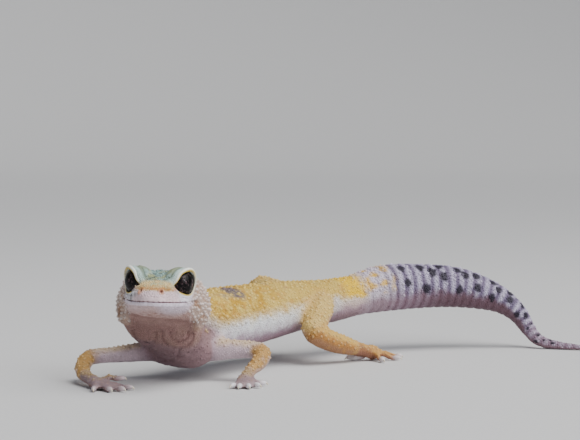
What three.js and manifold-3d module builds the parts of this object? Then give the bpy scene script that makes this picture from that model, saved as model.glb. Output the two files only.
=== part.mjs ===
// A leopard gecko, life size, standing still with its head raised and its tail arched down to the floor.
// Millimetres. +Z is up, the head points to -Y, the tail to +Y, and +X is the animal's left.
// The flesh is modelled whole, from lofts along the spine and the limbs, and then parted by thin slits.
import * as THREE from "three";
import Module from "manifold-3d";
import { mergeVertices } from "three/addons/utils/BufferGeometryUtils.js";

const wasm = await Module();
wasm.setup();

// ---- driving dimensions ----
const SLIT = 0.3; // gap between neighbouring pieces
const EYE_RADIUS = 3.75;
const EYE_SIDE = 5.05; // eye centre from the head's middle plane
const EYE_BACK = 12.6; // eye centre behind the snout tip
const EYE_HIGH = 5.0; // eye centre above the mouth line
const EYE_LOOK = THREE.MathUtils.degToRad(56); // from straight ahead to the eye's axis
const LID_ROLL = 0.45; // half thickness of the eyelids' rolled edge
const MOUTH_CORNER = 14.5; // corner of the mouth behind the snout tip
const MOUTH_RISE = 0.55; // height of that corner above the snout tip's mouth line
const JAW_SLOPE = 0.25; // lean of the lower jaw's rear face, in radians
const SNOUT_TIP = new THREE.Vector3(16.9, -93.4, 23.3); // front end of the mouth line
const HEAD_YAW = THREE.MathUtils.degToRad(35.6); // turned to the animal's left
const HEAD_PITCH = THREE.MathUtils.degToRad(5); // snout raised
const HEAD_ROLL = THREE.MathUtils.degToRad(2); // left side lower
const TOE_RADIUS = 0.95;
const TOE_HEIGHT = 0.56; // middle of a digit's tip above the floor, low enough to rest on a small flat
const CLAW_LENGTH = 1.45;
const CLAW_RADIUS = 0.36;
const WRIST_SHARE = 0.7; // the wrist or ankle's place along the last stretch of its limb
const WRIST_SLIT = 3.6; // radius of the disc that parts it

const COLOURS = {
  head: 0xd9d5b0,
  jaw: 0xd8b9aa,
  eye: 0x14100f,
  neck: 0xd8c9a6,
  trunk: 0xe3bd4a,
  tail: 0xb9adc4,
  limb: 0xd9a85a,
  foot: 0xd9c0bc,
  claw: 0xe9e2d4,
};

// ---- solids from three.js shapes ----
function solidFrom(geometry) {
  const bare = geometry.clone();
  bare.deleteAttribute("normal");
  bare.deleteAttribute("uv");
  const merged = mergeVertices(bare, 1e-4);
  return new wasm.Manifold(
    new wasm.Mesh({
      numProp: 3,
      vertProperties: new Float32Array(merged.attributes.position.array),
      triVerts: new Uint32Array(merged.index.array),
    }),
  );
}

function meshFrom(name, solid, colour) {
  const { numProp, vertProperties, triVerts } = solid.getMesh();
  const geometry = new THREE.BufferGeometry();
  const positions = new Float32Array((vertProperties.length / numProp) * 3);
  for (let i = 0; i * 3 < positions.length; i++) {
    const start = i * numProp;
    positions.set(vertProperties.subarray(start, start + 3), i * 3);
  }
  geometry.setAttribute("position", new THREE.BufferAttribute(positions, 3));
  geometry.setIndex(new THREE.BufferAttribute(new Uint32Array(triVerts), 1));
  geometry.computeVertexNormals();
  const finish = new THREE.MeshStandardMaterial({
    color: colour,
    roughness: name.startsWith("eye") ? 0.08 : 0.6,
    metalness: 0,
  });
  const mesh = new THREE.Mesh(geometry, finish);
  mesh.name = name;
  return mesh;
}

const joined = (solids) => solids.reduce((whole, next) => whole.add(next));

// Signed power, which squares up a round section when the exponent is under 1.
const squared = (value, exponent) =>
  Math.sign(value) * Math.abs(value) ** exponent;

// A closed body along a smooth spine. A station is [x, y, z, side, up, down]: the spine's point and the reach of
// the section to each side, above and below it. One radius alone makes a round section. Both ends are domes.
function loft(
  stations,
  { sides, rings, dome = 0.8, boxy = 1, capRows = 3, grown = 0 },
) {
  const spine = new THREE.CatmullRomCurve3(
    stations.map(([x, y, z]) => new THREE.Vector3(x, y, z)),
  );
  const reach = new THREE.CatmullRomCurve3(
    stations.map(
      ([, , , side, up = side, down = up]) => new THREE.Vector3(side, up, down),
    ),
  );
  const rows = rings + 2 * capRows;
  const geometry = new THREE.SphereGeometry(1, sides, rows);
  const position = geometry.attributes.position;
  const vertical = new THREE.Vector3(0, 0, 1);
  for (let row = 0, vertex = 0; row <= rows; row++) {
    const inner = THREE.MathUtils.clamp(row - capRows, 0, rings);
    const t = inner / rings;
    const beyond = (Math.abs(row - capRows - inner) / capRows) * (Math.PI / 2);
    const size = reach
      .getPoint(t)
      .addScalar(grown)
      .multiplyScalar(Math.cos(beyond));
    const tangent = spine.getTangent(t);
    const side = new THREE.Vector3()
      .crossVectors(tangent, vertical)
      .normalize();
    const up = new THREE.Vector3().crossVectors(side, tangent);
    const outward = (row < capRows ? -1 : 1) * dome * Math.sin(beyond);
    const centre = spine
      .getPoint(t)
      .addScaledVector(tangent, outward * reach.getPoint(t).x);
    for (let column = 0; column <= sides; column++, vertex++) {
      const angle = (column / sides) * 2 * Math.PI;
      const across = -squared(Math.cos(angle), boxy) * size.x;
      const height = -squared(Math.sin(angle), boxy);
      const point = centre
        .clone()
        .addScaledVector(side, across)
        .addScaledVector(up, height * (height > 0 ? size.y : size.z));
      position.setXYZ(vertex, point.x, point.y, point.z);
    }
  }
  return solidFrom(geometry);
}

// An ellipsoid with half axes [x, y, z], turned by an Euler angle and set at a point.
function blob([x, y, z], [a, b, c], turn = [0, 0, 0], detail = 14) {
  const geometry = new THREE.SphereGeometry(1, detail, Math.round(detail / 2));
  geometry.scale(a, b, c);
  geometry.applyMatrix4(
    new THREE.Matrix4().makeRotationFromEuler(new THREE.Euler(...turn)),
  );
  geometry.translate(x, y, z);
  return solidFrom(geometry);
}

// Turns a shape made along +Y to point along a direction, and sets it at a point.
function along(geometry, point, direction) {
  const turn = new THREE.Quaternion().setFromUnitVectors(
    new THREE.Vector3(0, 1, 0),
    direction.clone().normalize(),
  );
  return geometry.applyMatrix4(
    new THREE.Matrix4().compose(point, turn, new THREE.Vector3(1, 1, 1)),
  );
}

const vector = ([x, y, z]) => new THREE.Vector3(x, y, z);

// A thin disc that parts what passes through it.
function slit(point, direction, radius) {
  const disc = new THREE.CylinderGeometry(radius, radius, SLIT, 12);
  return solidFrom(along(disc, vector(point), vector(direction)));
}

// ---- head, in its own frame: snout tip at the origin, +Y backward, mouth line at z = 0 ----
const headPlace = new THREE.Matrix4().compose(
  SNOUT_TIP,
  new THREE.Quaternion().setFromEuler(
    new THREE.Euler(-HEAD_PITCH, HEAD_ROLL, HEAD_YAW, "ZXY"),
  ),
  new THREE.Vector3(1, 1, 1),
);
const placed = (solid) => solid.transform(headPlace.elements);

// Height of the closed mouth's line at a distance behind the snout tip: flat, then lifting to the corner.
const mouthLift = (y) => MOUTH_RISE * (Math.max(y, 0) / MOUTH_CORNER) ** 2;

function skull() {
  const profile = [
    [0, 1.3, 0.3, 3.4, 2.4, 2.0],
    [0, 3.2, 0.3, 5.0, 3.6, 2.8],
    [0, 6, 0.4, 6.4, 4.6, 3.6],
    [0, 9, 0.5, 7.5, 5.8, 4.3],
    [0, 12.5, 0.6, 8.8, 7.0, 5.0],
    [0, 16, 0.8, 10.3, 7.5, 5.9],
    [0, 19.5, 0.6, 11.5, 7.6, 6.8],
    [0, 22.5, 0.3, 11.6, 7.4, 7.4],
    [0, 25.5, 0.1, 10.4, 6.9, 7.4],
    [0, 29, 0, 8.4, 6.0, 7.0],
  ];
  return loft(profile, {
    sides: 16,
    rings: 11,
    dome: 0.55,
    boxy: 0.84,
    capRows: 2,
  });
}

const eyeCentre = (hand) => [hand * EYE_SIDE, EYE_BACK, EYE_HIGH];
const eyeball = (hand, radius, detail) =>
  blob(eyeCentre(hand), [radius, radius, radius], [0, 0, 0], detail);

// The eyelids' edge: points forward of and above the eye's axis, and their distance from the eye's centre, from the
// front corner up and round. The upper lid stands away from the eye at the back, like an awning.
const LID_EDGE = [
  [4.0, -1.3, 4.3],
  [3.6, 0.3, 4.3],
  [2.6, 2.0, 4.35],
  [1.2, 2.9, 4.45],
  [-0.7, 3.3, 4.6],
  [-2.2, 2.9, 4.75],
  [-3.3, 1.5, 4.6],
  [-3.6, -0.4, 4.35],
  [-2.7, -2.5, 4.3],
  [-1.0, -3.4, 4.3],
  [1.2, -3.3, 4.3],
  [2.8, -2.6, 4.3],
];

// That edge as a closed curve over the eyeball, at a share of its distance from the eye's centre.
function lidCurve(hand, share = 1) {
  const axis = new THREE.Vector3(
    hand * Math.sin(EYE_LOOK),
    -Math.cos(EYE_LOOK),
    0.1,
  ).normalize();
  const vertical = new THREE.Vector3(0, 0, 1);
  const forward = new THREE.Vector3().crossVectors(vertical, axis);
  forward.multiplyScalar(-hand).normalize();
  const up = new THREE.Vector3().crossVectors(axis, forward);
  up.multiplyScalar(Math.sign(up.z));
  const points = LID_EDGE.map(([ahead, above, reach]) => {
    const out = Math.sqrt(reach ** 2 - ahead ** 2 - above ** 2);
    return vector(eyeCentre(hand))
      .addScaledVector(forward, ahead * share)
      .addScaledVector(up, above * share)
      .addScaledVector(axis, out * share);
  });
  return new THREE.CatmullRomCurve3(points, true);
}

const lid = (hand) =>
  solidFrom(new THREE.TubeGeometry(lidCurve(hand), 18, LID_ROLL, 5, true));

// The lids' opening: a cone from the eye's centre out through the edge and past the skin.
function lidOpening(hand) {
  const sides = 18;
  const past = 1.8;
  const cone = new THREE.ConeGeometry(1, 1, sides, 1);
  const position = cone.attributes.position;
  const centre = vector(eyeCentre(hand));
  const rim = lidCurve(hand, past);
  const middle = rim
    .getPoints(sides)
    .reduce((sum, point) => sum.add(point), new THREE.Vector3())
    .divideScalar(sides + 1);
  for (let i = 0; i < position.count; i++) {
    const around = Math.atan2(position.getX(i), position.getZ(i));
    const flat = Math.hypot(position.getX(i), position.getZ(i)) < 0.5;
    const share = THREE.MathUtils.euclideanModulo(around / (2 * Math.PI), 1);
    const turned = hand > 0 ? share : 1 - share;
    const pole = position.getY(i) > 0 ? centre : middle;
    const point = flat ? pole : rim.getPoint(turned % 1);
    position.setXYZ(i, point.x, point.y, point.z);
  }
  return solidFrom(cone);
}

function headSolid() {
  const orbits = [-1, 1].flatMap((hand) => {
    const [x, y, z] = eyeCentre(hand);
    return [
      blob([x, y, z], [4.5, 4.85, 4.45], [0, 0, -hand * 0.3], 12), // eyeball's dome
      blob([hand * 9.6, 21, -1.2], [2.7, 4.8, 5.6], [0, 0, -hand * 0.25], 10), // jowl
      blob([hand * 7.4, 19, 4.1], [2.9, 4.8, 2.7], [0, 0, -hand * 0.3], 10), // temple
    ];
  });
  return joined([skull(), ...orbits])
    .subtract(joined([-1, 1].map(lidOpening)))
    .add(joined([-1, 1].map(lid)));
}

// The slit of the closed mouth, bent up to its corners, and the cut down behind the lower jaw.
function mouthSlit() {
  const wide = 26; // wider than the head
  const ahead = 3; // starts in front of the snout
  const deep = 12; // ends below the chin
  const sheet = new THREE.BoxGeometry(wide, MOUTH_CORNER + ahead, SLIT, 1, 8);
  sheet.translate(0, (MOUTH_CORNER - ahead) / 2, 0);
  const position = sheet.attributes.position;
  for (let i = 0; i < position.count; i++)
    position.setZ(i, position.getZ(i) + mouthLift(position.getY(i)));
  const drop = new THREE.BoxGeometry(wide, SLIT, deep);
  drop.translate(0, 0, -deep / 2);
  drop.rotateX(JAW_SLOPE);
  drop.translate(0, MOUTH_CORNER - SLIT / 2, MOUTH_RISE);
  return solidFrom(sheet).add(solidFrom(drop));
}

// ---- neck, trunk and tail: one loft from inside the head to the tail's tip, with the throat and the breast ----
function bodySolid(grown = 0) {
  const stations = [
    [4.2, -72.6, 21.2, 8.4, 5.6, 7.6],
    [2.4, -68.0, 18.8, 9.2, 7.0, 9.4],
    [1.4, -62.0, 15.6, 9.2, 8.4, 10.6],
    [0.6, -55.0, 14.3, 9.5, 9.1, 10.2],
    [-1.2, -44.0, 14.4, 10.0, 8.8, 9.4],
    [-2.8, -32.0, 14.9, 10.2, 8.2, 8.8],
    [-3.2, -21.0, 15.4, 9.3, 7.6, 8.2],
    [-2.7, -11.0, 15.9, 8.0, 6.8, 7.4],
    [-1.6, -3.0, 16.2, 7.2, 6.3, 6.9],
    [-0.5, 4.0, 16.6, 6.4, 6.1, 6.5],
    [0.5, 9.5, 17.1, 6.0, 6.2, 6.2],
    [2.2, 15.3, 18.1, 6.6, 7.0, 6.8],
    [4.7, 21.7, 18.8, 6.9, 7.3, 7.1],
    [9.6, 31.4, 18.9, 6.8, 6.9, 6.8],
    [15.4, 40.0, 18.4, 6.3, 6.4, 6.4],
    [22.0, 47.2, 16.0, 5.0, 5.0, 5.0],
    [26.1, 50.7, 13.6, 3.9],
    [29.6, 53.4, 9.9, 3.0],
    [32.2, 54.6, 5.6, 2.3],
    [36.3, 54.4, 2.3, 1.9],
    [41.9, 56.0, 1.2, 1.4],
    [48.2, 58.3, 0.8, 1.0],
    [52.6, 61.0, 0.45, 0.65],
  ];
  const throat = [
    [3.7, -75.6, 20.0, 11.4, 4.0, 4.5],
    [2.3, -72.8, 15.5, 11.9, 5.0, 5.5],
    [2.4, -69.6, 12.0, 11.2, 6.0, 6.2],
    [3.2, -66.6, 9.2, 9.4, 5.0, 5.8],
  ];
  const spine = { sides: 14, rings: 42, dome: 0.5, boxy: 0.94, grown };
  const front = { sides: 16, rings: 5, dome: 0.6, grown };
  const girdle = [9.8, 5.8, 5.85].map((reach) => reach + grown);
  const breast = blob([-1.0, -65.9, 8.8], girdle, [0, 0, 0.35]);
  return joined([loft(stations, spine), loft(throat, front), breast]);
}

// ---- limbs ----
// Each limb has round stations [x, y, z, radius] down its two bones, and its sole as an ellipsoid's middle and half
// axes. Its digits' tips run from the first to the fifth, with a lift where one is off the floor. The mitre is the
// radius of the disc that parts the limb at its elbow or knee.
const limbs = {
  arm_left: {
    mitre: 5,
    names: ["arm_upper_left", "arm_fore_left", "hand_left"],
    upper: [
      [3.0, -60.5, 9.8, 3.8],
      [9.4, -61.2, 8.6, 3.1],
      [15.0, -58.6, 8.4, 2.55],
      [20.6, -55.6, 8.0, 2.45],
    ],
    lower: [
      [20.6, -55.6, 8.0, 2.45],
      [23.2, -58.6, 6.2, 2.4],
      [23.6, -62.0, 4.6, 1.95],
      [23.8, -64.6, 3.2, 1.6],
    ],
    sole: [24.2, -66.6, 1.7, 2.2, 2.4, 1.85],
    digits: [
      [24.6, -71.0],
      [26.4, -70.8],
      [28.0, -69.4],
      [28.4, -66.8],
      [27.0, -63.4],
    ],
  },
  arm_right: {
    mitre: 5,
    names: ["arm_upper_right", "arm_fore_right", "hand_right"],
    upper: [
      [-2.5, -63.5, 8.6, 3.8],
      [-8.2, -70.2, 6.9, 2.9],
      [-12.6, -77.2, 6.4, 2.3],
      [-15.6, -83.4, 6.2, 2.25],
    ],
    lower: [
      [-15.6, -83.4, 6.2, 2.25],
      [-14.5, -86.6, 4.5, 2.25],
      [-11.6, -89.8, 3.1, 2.05],
      [-7.6, -92.0, 2.4, 1.7],
    ],
    sole: [-2.2, -94.0, 1.6, 2.9, 2.1, 1.75],
    digits: [
      [0.6, -88.2, 1.5],
      [6.1, -90.9],
      [6.8, -94.1],
      [5.2, -96.6],
      [1.6, -98.4],
    ],
  },
  leg_left: {
    mitre: 9,
    names: ["thigh_left", "shin_left", "foot_left"],
    upper: [
      [1.0, -9.0, 15.6, 4.9],
      [5.2, -12.8, 15.0, 4.5],
      [8.2, -17.8, 12.6, 3.8],
      [10.2, -22.3, 9.6, 3.2],
    ],
    lower: [
      [10.2, -22.3, 9.6, 3.2],
      [11.4, -17.2, 7.1, 3.3],
      [12.8, -11.3, 5.0, 3.0],
      [14.0, -6.0, 3.7, 2.1],
    ],
    sole: [15.6, -1.4, 2.3, 1.9, 3.1, 2.45],
    digits: [
      [11.3, -5.7],
      [20.9, -3.9],
      [21.2, 2.2],
      [18.6, 6.6],
      [13.2, 5.6],
    ],
  },
  leg_right: {
    mitre: 7,
    names: ["thigh_right", "shin_right", "foot_right"],
    upper: [
      [-4.0, -9.0, 15.8, 4.9],
      [-9.0, -9.6, 17.2, 4.5],
      [-15.4, -9.8, 19.2, 3.7],
      [-20.6, -9.4, 20.4, 3.1],
    ],
    lower: [
      [-20.6, -9.4, 20.4, 3.1],
      [-23.0, -8.8, 14.6, 3.0],
      [-24.8, -7.8, 8.8, 2.3],
      [-25.6, -6.6, 4.2, 1.8],
    ],
    sole: [-26.2, -10.4, 1.8, 2.1, 3.4, 1.95],
    digits: [
      [-21.4, -14.0],
      [-22.8, -17.8],
      [-26.4, -19.8],
      [-30.4, -18.6],
      [-31.6, -13.6],
    ],
  },
};

// A digit: out of the sole, up over a low knuckle and down to its tip, which may be lifted.
function digit(limb, [x, y, lift = 0]) {
  const [sx, sy, sz] = limb.sole;
  const z = TOE_HEIGHT + lift;
  const at = (share, height, radius) => [
    THREE.MathUtils.lerp(sx, x, share),
    THREE.MathUtils.lerp(sy, y, share),
    height,
    radius,
  ];
  const stations = [
    at(0.15, sz, TOE_RADIUS * 1.1),
    at(0.55, sz * 0.5 + z, TOE_RADIUS * 1.05),
    at(0.82, z + 0.35, TOE_RADIUS * 0.9),
    at(1, z, TOE_RADIUS * 0.8),
  ];
  return loft(stations, { sides: 6, rings: 3, dome: 0.5, capRows: 1 });
}

// A claw: hooks forward and down from the digit's tip.
function claw(limb, [x, y, lift = 0]) {
  const [sx, sy] = limb.sole;
  const z = TOE_HEIGHT + lift;
  const forward = new THREE.Vector3(x - sx, y - sy, 0).normalize();
  const start = TOE_RADIUS * 0.4 + SLIT;
  const at = (out, rise, radius) => [
    x + forward.x * (start + out),
    y + forward.y * (start + out),
    z + rise,
    radius,
  ];
  const stations = [
    at(CLAW_RADIUS, 0.3, CLAW_RADIUS),
    at(CLAW_LENGTH * 0.6, 0.25, CLAW_RADIUS * 0.8),
    at(CLAW_LENGTH, -0.15, CLAW_RADIUS * 0.4),
  ];
  return loft(stations, { sides: 4, rings: 2, dome: 0.6, capRows: 1 });
}

function limbSolid(limb) {
  const [x, y, z, ...reach] = limb.sole;
  return joined([
    loft(limb.upper, { sides: 9, rings: 4, capRows: 1 }),
    loft(limb.lower, { sides: 9, rings: 4, capRows: 1 }),
    blob([x, y, z], reach, [0, 0, 0], 8),
    loft([limb.lower.at(-1), [x, y, z, Math.min(...reach)]], {
      sides: 8,
      rings: 1,
      capRows: 1,
    }),
    ...limb.digits.map((tip) => digit(limb, tip)),
  ]);
}

// ---- slits between the pieces ----
const between = (a, b, share) =>
  vector(a).lerp(vector(b), share).toArray();
const towards = (a, b) => vector(b).sub(vector(a)).toArray();

// The joint in the middle of the limb is mitred, and the wrist or ankle is cut square.
function limbSlits(limb) {
  const [, , middle, joint] = limb.upper;
  const [, , lowMiddle, end] = limb.lower;
  const arriving = vector(towards(middle, joint)).normalize();
  const leaving = vector(towards(joint, lowMiddle)).normalize();
  return [
    slit(joint, arriving.add(leaving).toArray(), limb.mitre),
    slit(between(lowMiddle, end, WRIST_SHARE), towards(lowMiddle, end), WRIST_SLIT),
  ];
}

const bodySlits = [
  slit([2.0, -69.5, 19.5], [-0.35, 0.85, -0.65], 17), // head and neck
  slit([1.0, -58.0, 14.6], [-0.1, 1, -0.15], 14.5), // neck and chest
  slit([-2.9, -30.0, 15.0], [-0.1, 1, 0], 13), // chest and belly
  slit([0.1, 7.5, 16.9], [0.16, 1, 0.1], 8.4), // belly and tail
  slit([9.6, 31.4, 18.9], [0.5, 0.85, 0], 9), // along the tail
  slit([23.6, 48.8, 15.1], [0.75, 0.6, -0.4], 8),
  slit([33.0, 54.8, 4.4], [0.7, 0.1, -0.8], 4),
];

// ---- parting ----
const FLOOR_DEPTH = 40;
const floor = new THREE.BoxGeometry(300, 400, FLOOR_DEPTH);
floor.translate(0, 0, -FLOOR_DEPTH / 2);

const sockets = [-1, 1].map((hand) =>
  placed(eyeball(hand, EYE_RADIUS + SLIT, 14)),
);
const body = placed(headSolid())
  .add(bodySolid())
  .subtract(joined([placed(mouthSlit()), ...sockets, ...bodySlits]));
const clearance = bodySolid(SLIT);
const limbPieces = Object.values(limbs).map((limb) =>
  limbSolid(limb)
    .subtract(clearance)
    .subtract(joined(limbSlits(limb))),
);

const inHead = (x, y, z) =>
  new THREE.Vector3(x, y, z).applyMatrix4(headPlace).toArray();

// A point inside each piece of flesh, with its colour.
const flesh = {
  head: [inHead(0, 19, 3), COLOURS.head],
  lower_jaw: [inHead(0, 7, -1.8), COLOURS.jaw],
  neck: [[2, -66, 13], COLOURS.neck],
  chest: [[-1.4, -42, 14], COLOURS.trunk],
  belly: [[-2.2, -14, 15], COLOURS.trunk],
  tail_base: [[4.7, 21.7, 18], COLOURS.tail],
  tail_middle: [[15.4, 40, 18], COLOURS.tail],
  tail_rear: [[29.6, 53.4, 9.9], COLOURS.tail],
  tail_tip: [[41.9, 56.0, 1.2], COLOURS.tail],
};
for (const { names, upper, lower, sole } of Object.values(limbs)) {
  flesh[names[0]] = [between(upper[1], upper[2], 0.7), COLOURS.limb];
  flesh[names[1]] = [between(lower[1], lower[2], 0.6), COLOURS.limb];
  flesh[names[2]] = [sole.slice(0, 3), COLOURS.foot];
}

const CRUMB = 1; // cubic millimetres: what the cuts leave that is smaller than this is dropped
const pieces = [body, ...limbPieces]
  .flatMap((solid) => solid.subtract(solidFrom(floor)).decompose())
  .filter((piece) => piece.volume() > CRUMB);
const gecko = new THREE.Group();
for (const [name, [point, colour]] of Object.entries(flesh)) {
  const probe = blob(point, [0.1, 0.1, 0.1], [0, 0, 0], 6);
  const found = pieces.findIndex(
    (piece) => piece && piece.intersect(probe).volume() > 0,
  );
  if (found < 0) throw new Error(`no piece holds the point of ${name}`);
  gecko.add(meshFrom(name, pieces[found], colour));
  pieces[found] = null;
}
const unnamed = pieces.filter(Boolean);
if (unnamed.length) throw new Error(`${unnamed.length} pieces have no name`);

for (const [hand, side] of [[1, "left"], [-1, "right"]])
  gecko.add(
    meshFrom(`eye_${side}`, placed(eyeball(hand, EYE_RADIUS, 14)), COLOURS.eye),
  );
for (const limb of Object.values(limbs))
  limb.digits.forEach((tip, i) =>
    gecko.add(
      meshFrom(`claw_${limb.names[2]}_${i + 1}`, claw(limb, tip), COLOURS.claw),
    ),
  );

// The origin is on the floor under the middle of the whole animal.
const bounds = new THREE.Box3().setFromObject(gecko);
const middle = bounds.getCenter(new THREE.Vector3());
gecko.position.set(-middle.x, -middle.y, -bounds.min.z);

export default gecko;
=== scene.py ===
import math

import bmesh
import bpy
import numpy as np
from mathutils import Matrix, Vector, kdtree, noise
from mathutils.bvhtree import BVHTree


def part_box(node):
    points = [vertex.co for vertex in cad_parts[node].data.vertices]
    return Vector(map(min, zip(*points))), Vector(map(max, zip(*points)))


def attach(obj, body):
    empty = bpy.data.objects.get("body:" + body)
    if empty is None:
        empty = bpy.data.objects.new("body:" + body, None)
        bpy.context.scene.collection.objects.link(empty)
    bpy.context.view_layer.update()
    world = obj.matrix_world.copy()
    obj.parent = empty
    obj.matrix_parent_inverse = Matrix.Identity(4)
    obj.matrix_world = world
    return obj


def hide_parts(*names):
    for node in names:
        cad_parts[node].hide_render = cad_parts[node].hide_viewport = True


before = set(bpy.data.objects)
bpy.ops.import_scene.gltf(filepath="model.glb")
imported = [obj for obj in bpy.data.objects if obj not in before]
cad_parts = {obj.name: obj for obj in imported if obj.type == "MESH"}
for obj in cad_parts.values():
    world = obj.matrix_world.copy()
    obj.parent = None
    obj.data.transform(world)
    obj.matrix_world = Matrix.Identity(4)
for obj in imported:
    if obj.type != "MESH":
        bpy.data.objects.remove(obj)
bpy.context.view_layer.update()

# ---- floor, light and camera ----
# A dish of pale matt card lies under the animal and curves up all round, far off. Soft daylight comes from
# above, with a lamp overhead and a weaker one beside the camera, which stands low in front of the head.
MM = 0.001
CAMERA_AT = Vector((0.3361, -0.4124, 0.0665))
CAMERA_TURN = math.radians(40)
CAMERA_DIP = math.radians(2.77)
CAMERA_LENS = 117.9


def linear(red, green, blue):
    """A colour given from 0 to 1, as the light it stands for."""
    return tuple(c / 12.92 if c <= 0.04045 else ((c + 0.055) / 1.055) ** 2.4 for c in (red, green, blue))


def new_object(name, mesh):
    piece = bpy.data.objects.new(name, mesh)
    bpy.context.scene.collection.objects.link(piece)
    return piece


def node_material(name):
    """An empty node material, its tree and its main shader."""
    material = bpy.data.materials.new(name)
    material.use_nodes = True
    return material, material.node_tree, material.node_tree.nodes["Principled BSDF"]


def floor_material():
    material, tree, shader = node_material("pale_card")
    coords = tree.nodes.new("ShaderNodeTexCoord")
    grain = tree.nodes.new("ShaderNodeTexNoise")
    grain.inputs["Scale"].default_value = 900
    shade = tree.nodes.new("ShaderNodeValToRGB")
    shade.color_ramp.elements[0].color = (*linear(0.80, 0.80, 0.80), 1)
    shade.color_ramp.elements[1].color = (*linear(0.84, 0.84, 0.84), 1)
    tree.links.new(coords.outputs["Object"], grain.inputs["Vector"])
    tree.links.new(grain.outputs["Fac"], shade.inputs["Fac"])
    tree.links.new(shade.outputs["Color"], shader.inputs["Base Color"])
    shader.inputs["Roughness"].default_value = 0.9
    return material


def area_light(name, place, target, size, power, colour):
    lamp = bpy.data.lights.new(name, "AREA")
    lamp.shape = "DISK"
    lamp.size = size
    lamp.energy = power
    lamp.color = colour
    holder = bpy.data.objects.new(name, lamp)
    holder.location = place
    holder.rotation_euler = (Vector(target) - Vector(place)).to_track_quat("-Z", "Y").to_euler()
    bpy.context.scene.collection.objects.link(holder)


FLOOR_RADIUS = 2.4
FLOOR_BEND = 0.9
FLOOR_BANDS = 14

floor_mesh = bmesh.new()
rim = bmesh.ops.create_circle(floor_mesh, cap_ends=True, segments=96, radius=FLOOR_RADIUS)["verts"]
edges = [e for e in floor_mesh.edges if e.is_boundary]
for step in range(1, FLOOR_BANDS + 1):
    turned = bmesh.ops.extrude_edge_only(floor_mesh, edges=edges)["geom"]
    lean = math.pi / 2 * step / FLOOR_BANDS
    radius = FLOOR_RADIUS + FLOOR_BEND * math.sin(lean)
    for v in (g for g in turned if isinstance(g, bmesh.types.BMVert)):
        v.co = Vector((v.co.x, v.co.y, 0)).normalized() * radius
        v.co.z = FLOOR_BEND * (1 - math.cos(lean))
    edges = [g for g in turned if isinstance(g, bmesh.types.BMEdge)]
bmesh.ops.recalc_face_normals(floor_mesh, faces=floor_mesh.faces)
floor_data = bpy.data.meshes.new("floor")
floor_mesh.to_mesh(floor_data)
floor_mesh.free()
for polygon in floor_data.polygons:
    polygon.use_smooth = True
floor = new_object("floor", floor_data)
floor.data.materials.append(floor_material())

daylight = bpy.data.lights.new("soft_daylight", "SUN")
daylight.energy = 2.5
daylight.angle = math.radians(60)
daylight.color = (1.0, 0.985, 0.97)
daylight_holder = bpy.data.objects.new("soft_daylight", daylight)
daylight_holder.rotation_euler = Vector((0.70, 0.22, 0.95)).to_track_quat("Z", "Y").to_euler()
bpy.context.scene.collection.objects.link(daylight_holder)
area_light("overhead", (0.25, 0.05, 0.75), (0, -0.01, 0.01), 0.6, 3.0, (1.0, 0.98, 0.96))
area_light("beside_camera", (0.85, -0.15, 0.40), (0, -0.02, 0.015), 0.4, 3.0, (0.95, 0.97, 1.0))

world = bpy.data.worlds.new("studio")
bpy.context.scene.world = world
world.use_nodes = True
world.node_tree.nodes["Background"].inputs["Color"].default_value = (*linear(0.80, 0.83, 0.88), 1)
world.node_tree.nodes["Background"].inputs["Strength"].default_value = 0.29

camera_data = bpy.data.cameras.new("camera")
camera_data.lens = CAMERA_LENS
camera_data.sensor_width = 36
camera_data.clip_start = 0.01
camera = bpy.data.objects.new("camera", camera_data)
camera.location = CAMERA_AT
camera.rotation_euler = (math.pi / 2 - CAMERA_DIP, 0, CAMERA_TURN)
bpy.context.scene.collection.objects.link(camera)
bpy.context.scene.camera = camera

# ---- hide: the bare skin ----
# One hide runs without a seam over head, trunk, limbs and tail. It is made from the solids of the flesh,
# swollen until they meet, remeshed as one, drawn back to leave room for the scales, and smoothed.
SWELL = 0.20
COAT_DEPTH = 0.16
HIDE_STEP = 0.54
FLESH = sorted(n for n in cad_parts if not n.startswith(("eye", "claw")))


def merged_copy(name):
    part = bmesh.new()
    part.from_mesh(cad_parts[name].data)
    bmesh.ops.remove_doubles(part, verts=part.verts, dist=1e-6)
    part.normal_update()
    return part


def remeshed(mesh, step):
    holder = new_object("remesh_work", mesh)
    modifier = holder.modifiers.new("remesh", "REMESH")
    modifier.mode = "VOXEL"
    modifier.voxel_size = step * MM
    modifier.adaptivity = 0
    graph = bpy.context.evaluated_depsgraph_get()
    result = bpy.data.meshes.new_from_object(holder.evaluated_get(graph))
    bpy.data.objects.remove(holder)
    return result


def hide_base():
    """The flesh as one closed mesh, a little swollen, with each solid's faces kept to tell regions by."""
    joined = bpy.data.meshes.new("flesh")
    whole = bmesh.new()
    points, faces, owner = [], [], []
    for index, name in enumerate(FLESH):
        part = merged_copy(name)
        start = len(points)
        points += [v.co.copy() for v in part.verts]
        faces += [[start + v.index for v in f.verts] for f in part.faces]
        owner += [index] * len(part.faces)
        for v in part.verts:
            v.co += v.normal * SWELL * MM
        part.to_mesh(joined)
        part.free()
        whole.from_mesh(joined)
    whole.to_mesh(joined)
    whole.free()
    return remeshed(joined, HIDE_STEP), BVHTree.FromPolygons(points, faces), np.array(owner)


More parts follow.
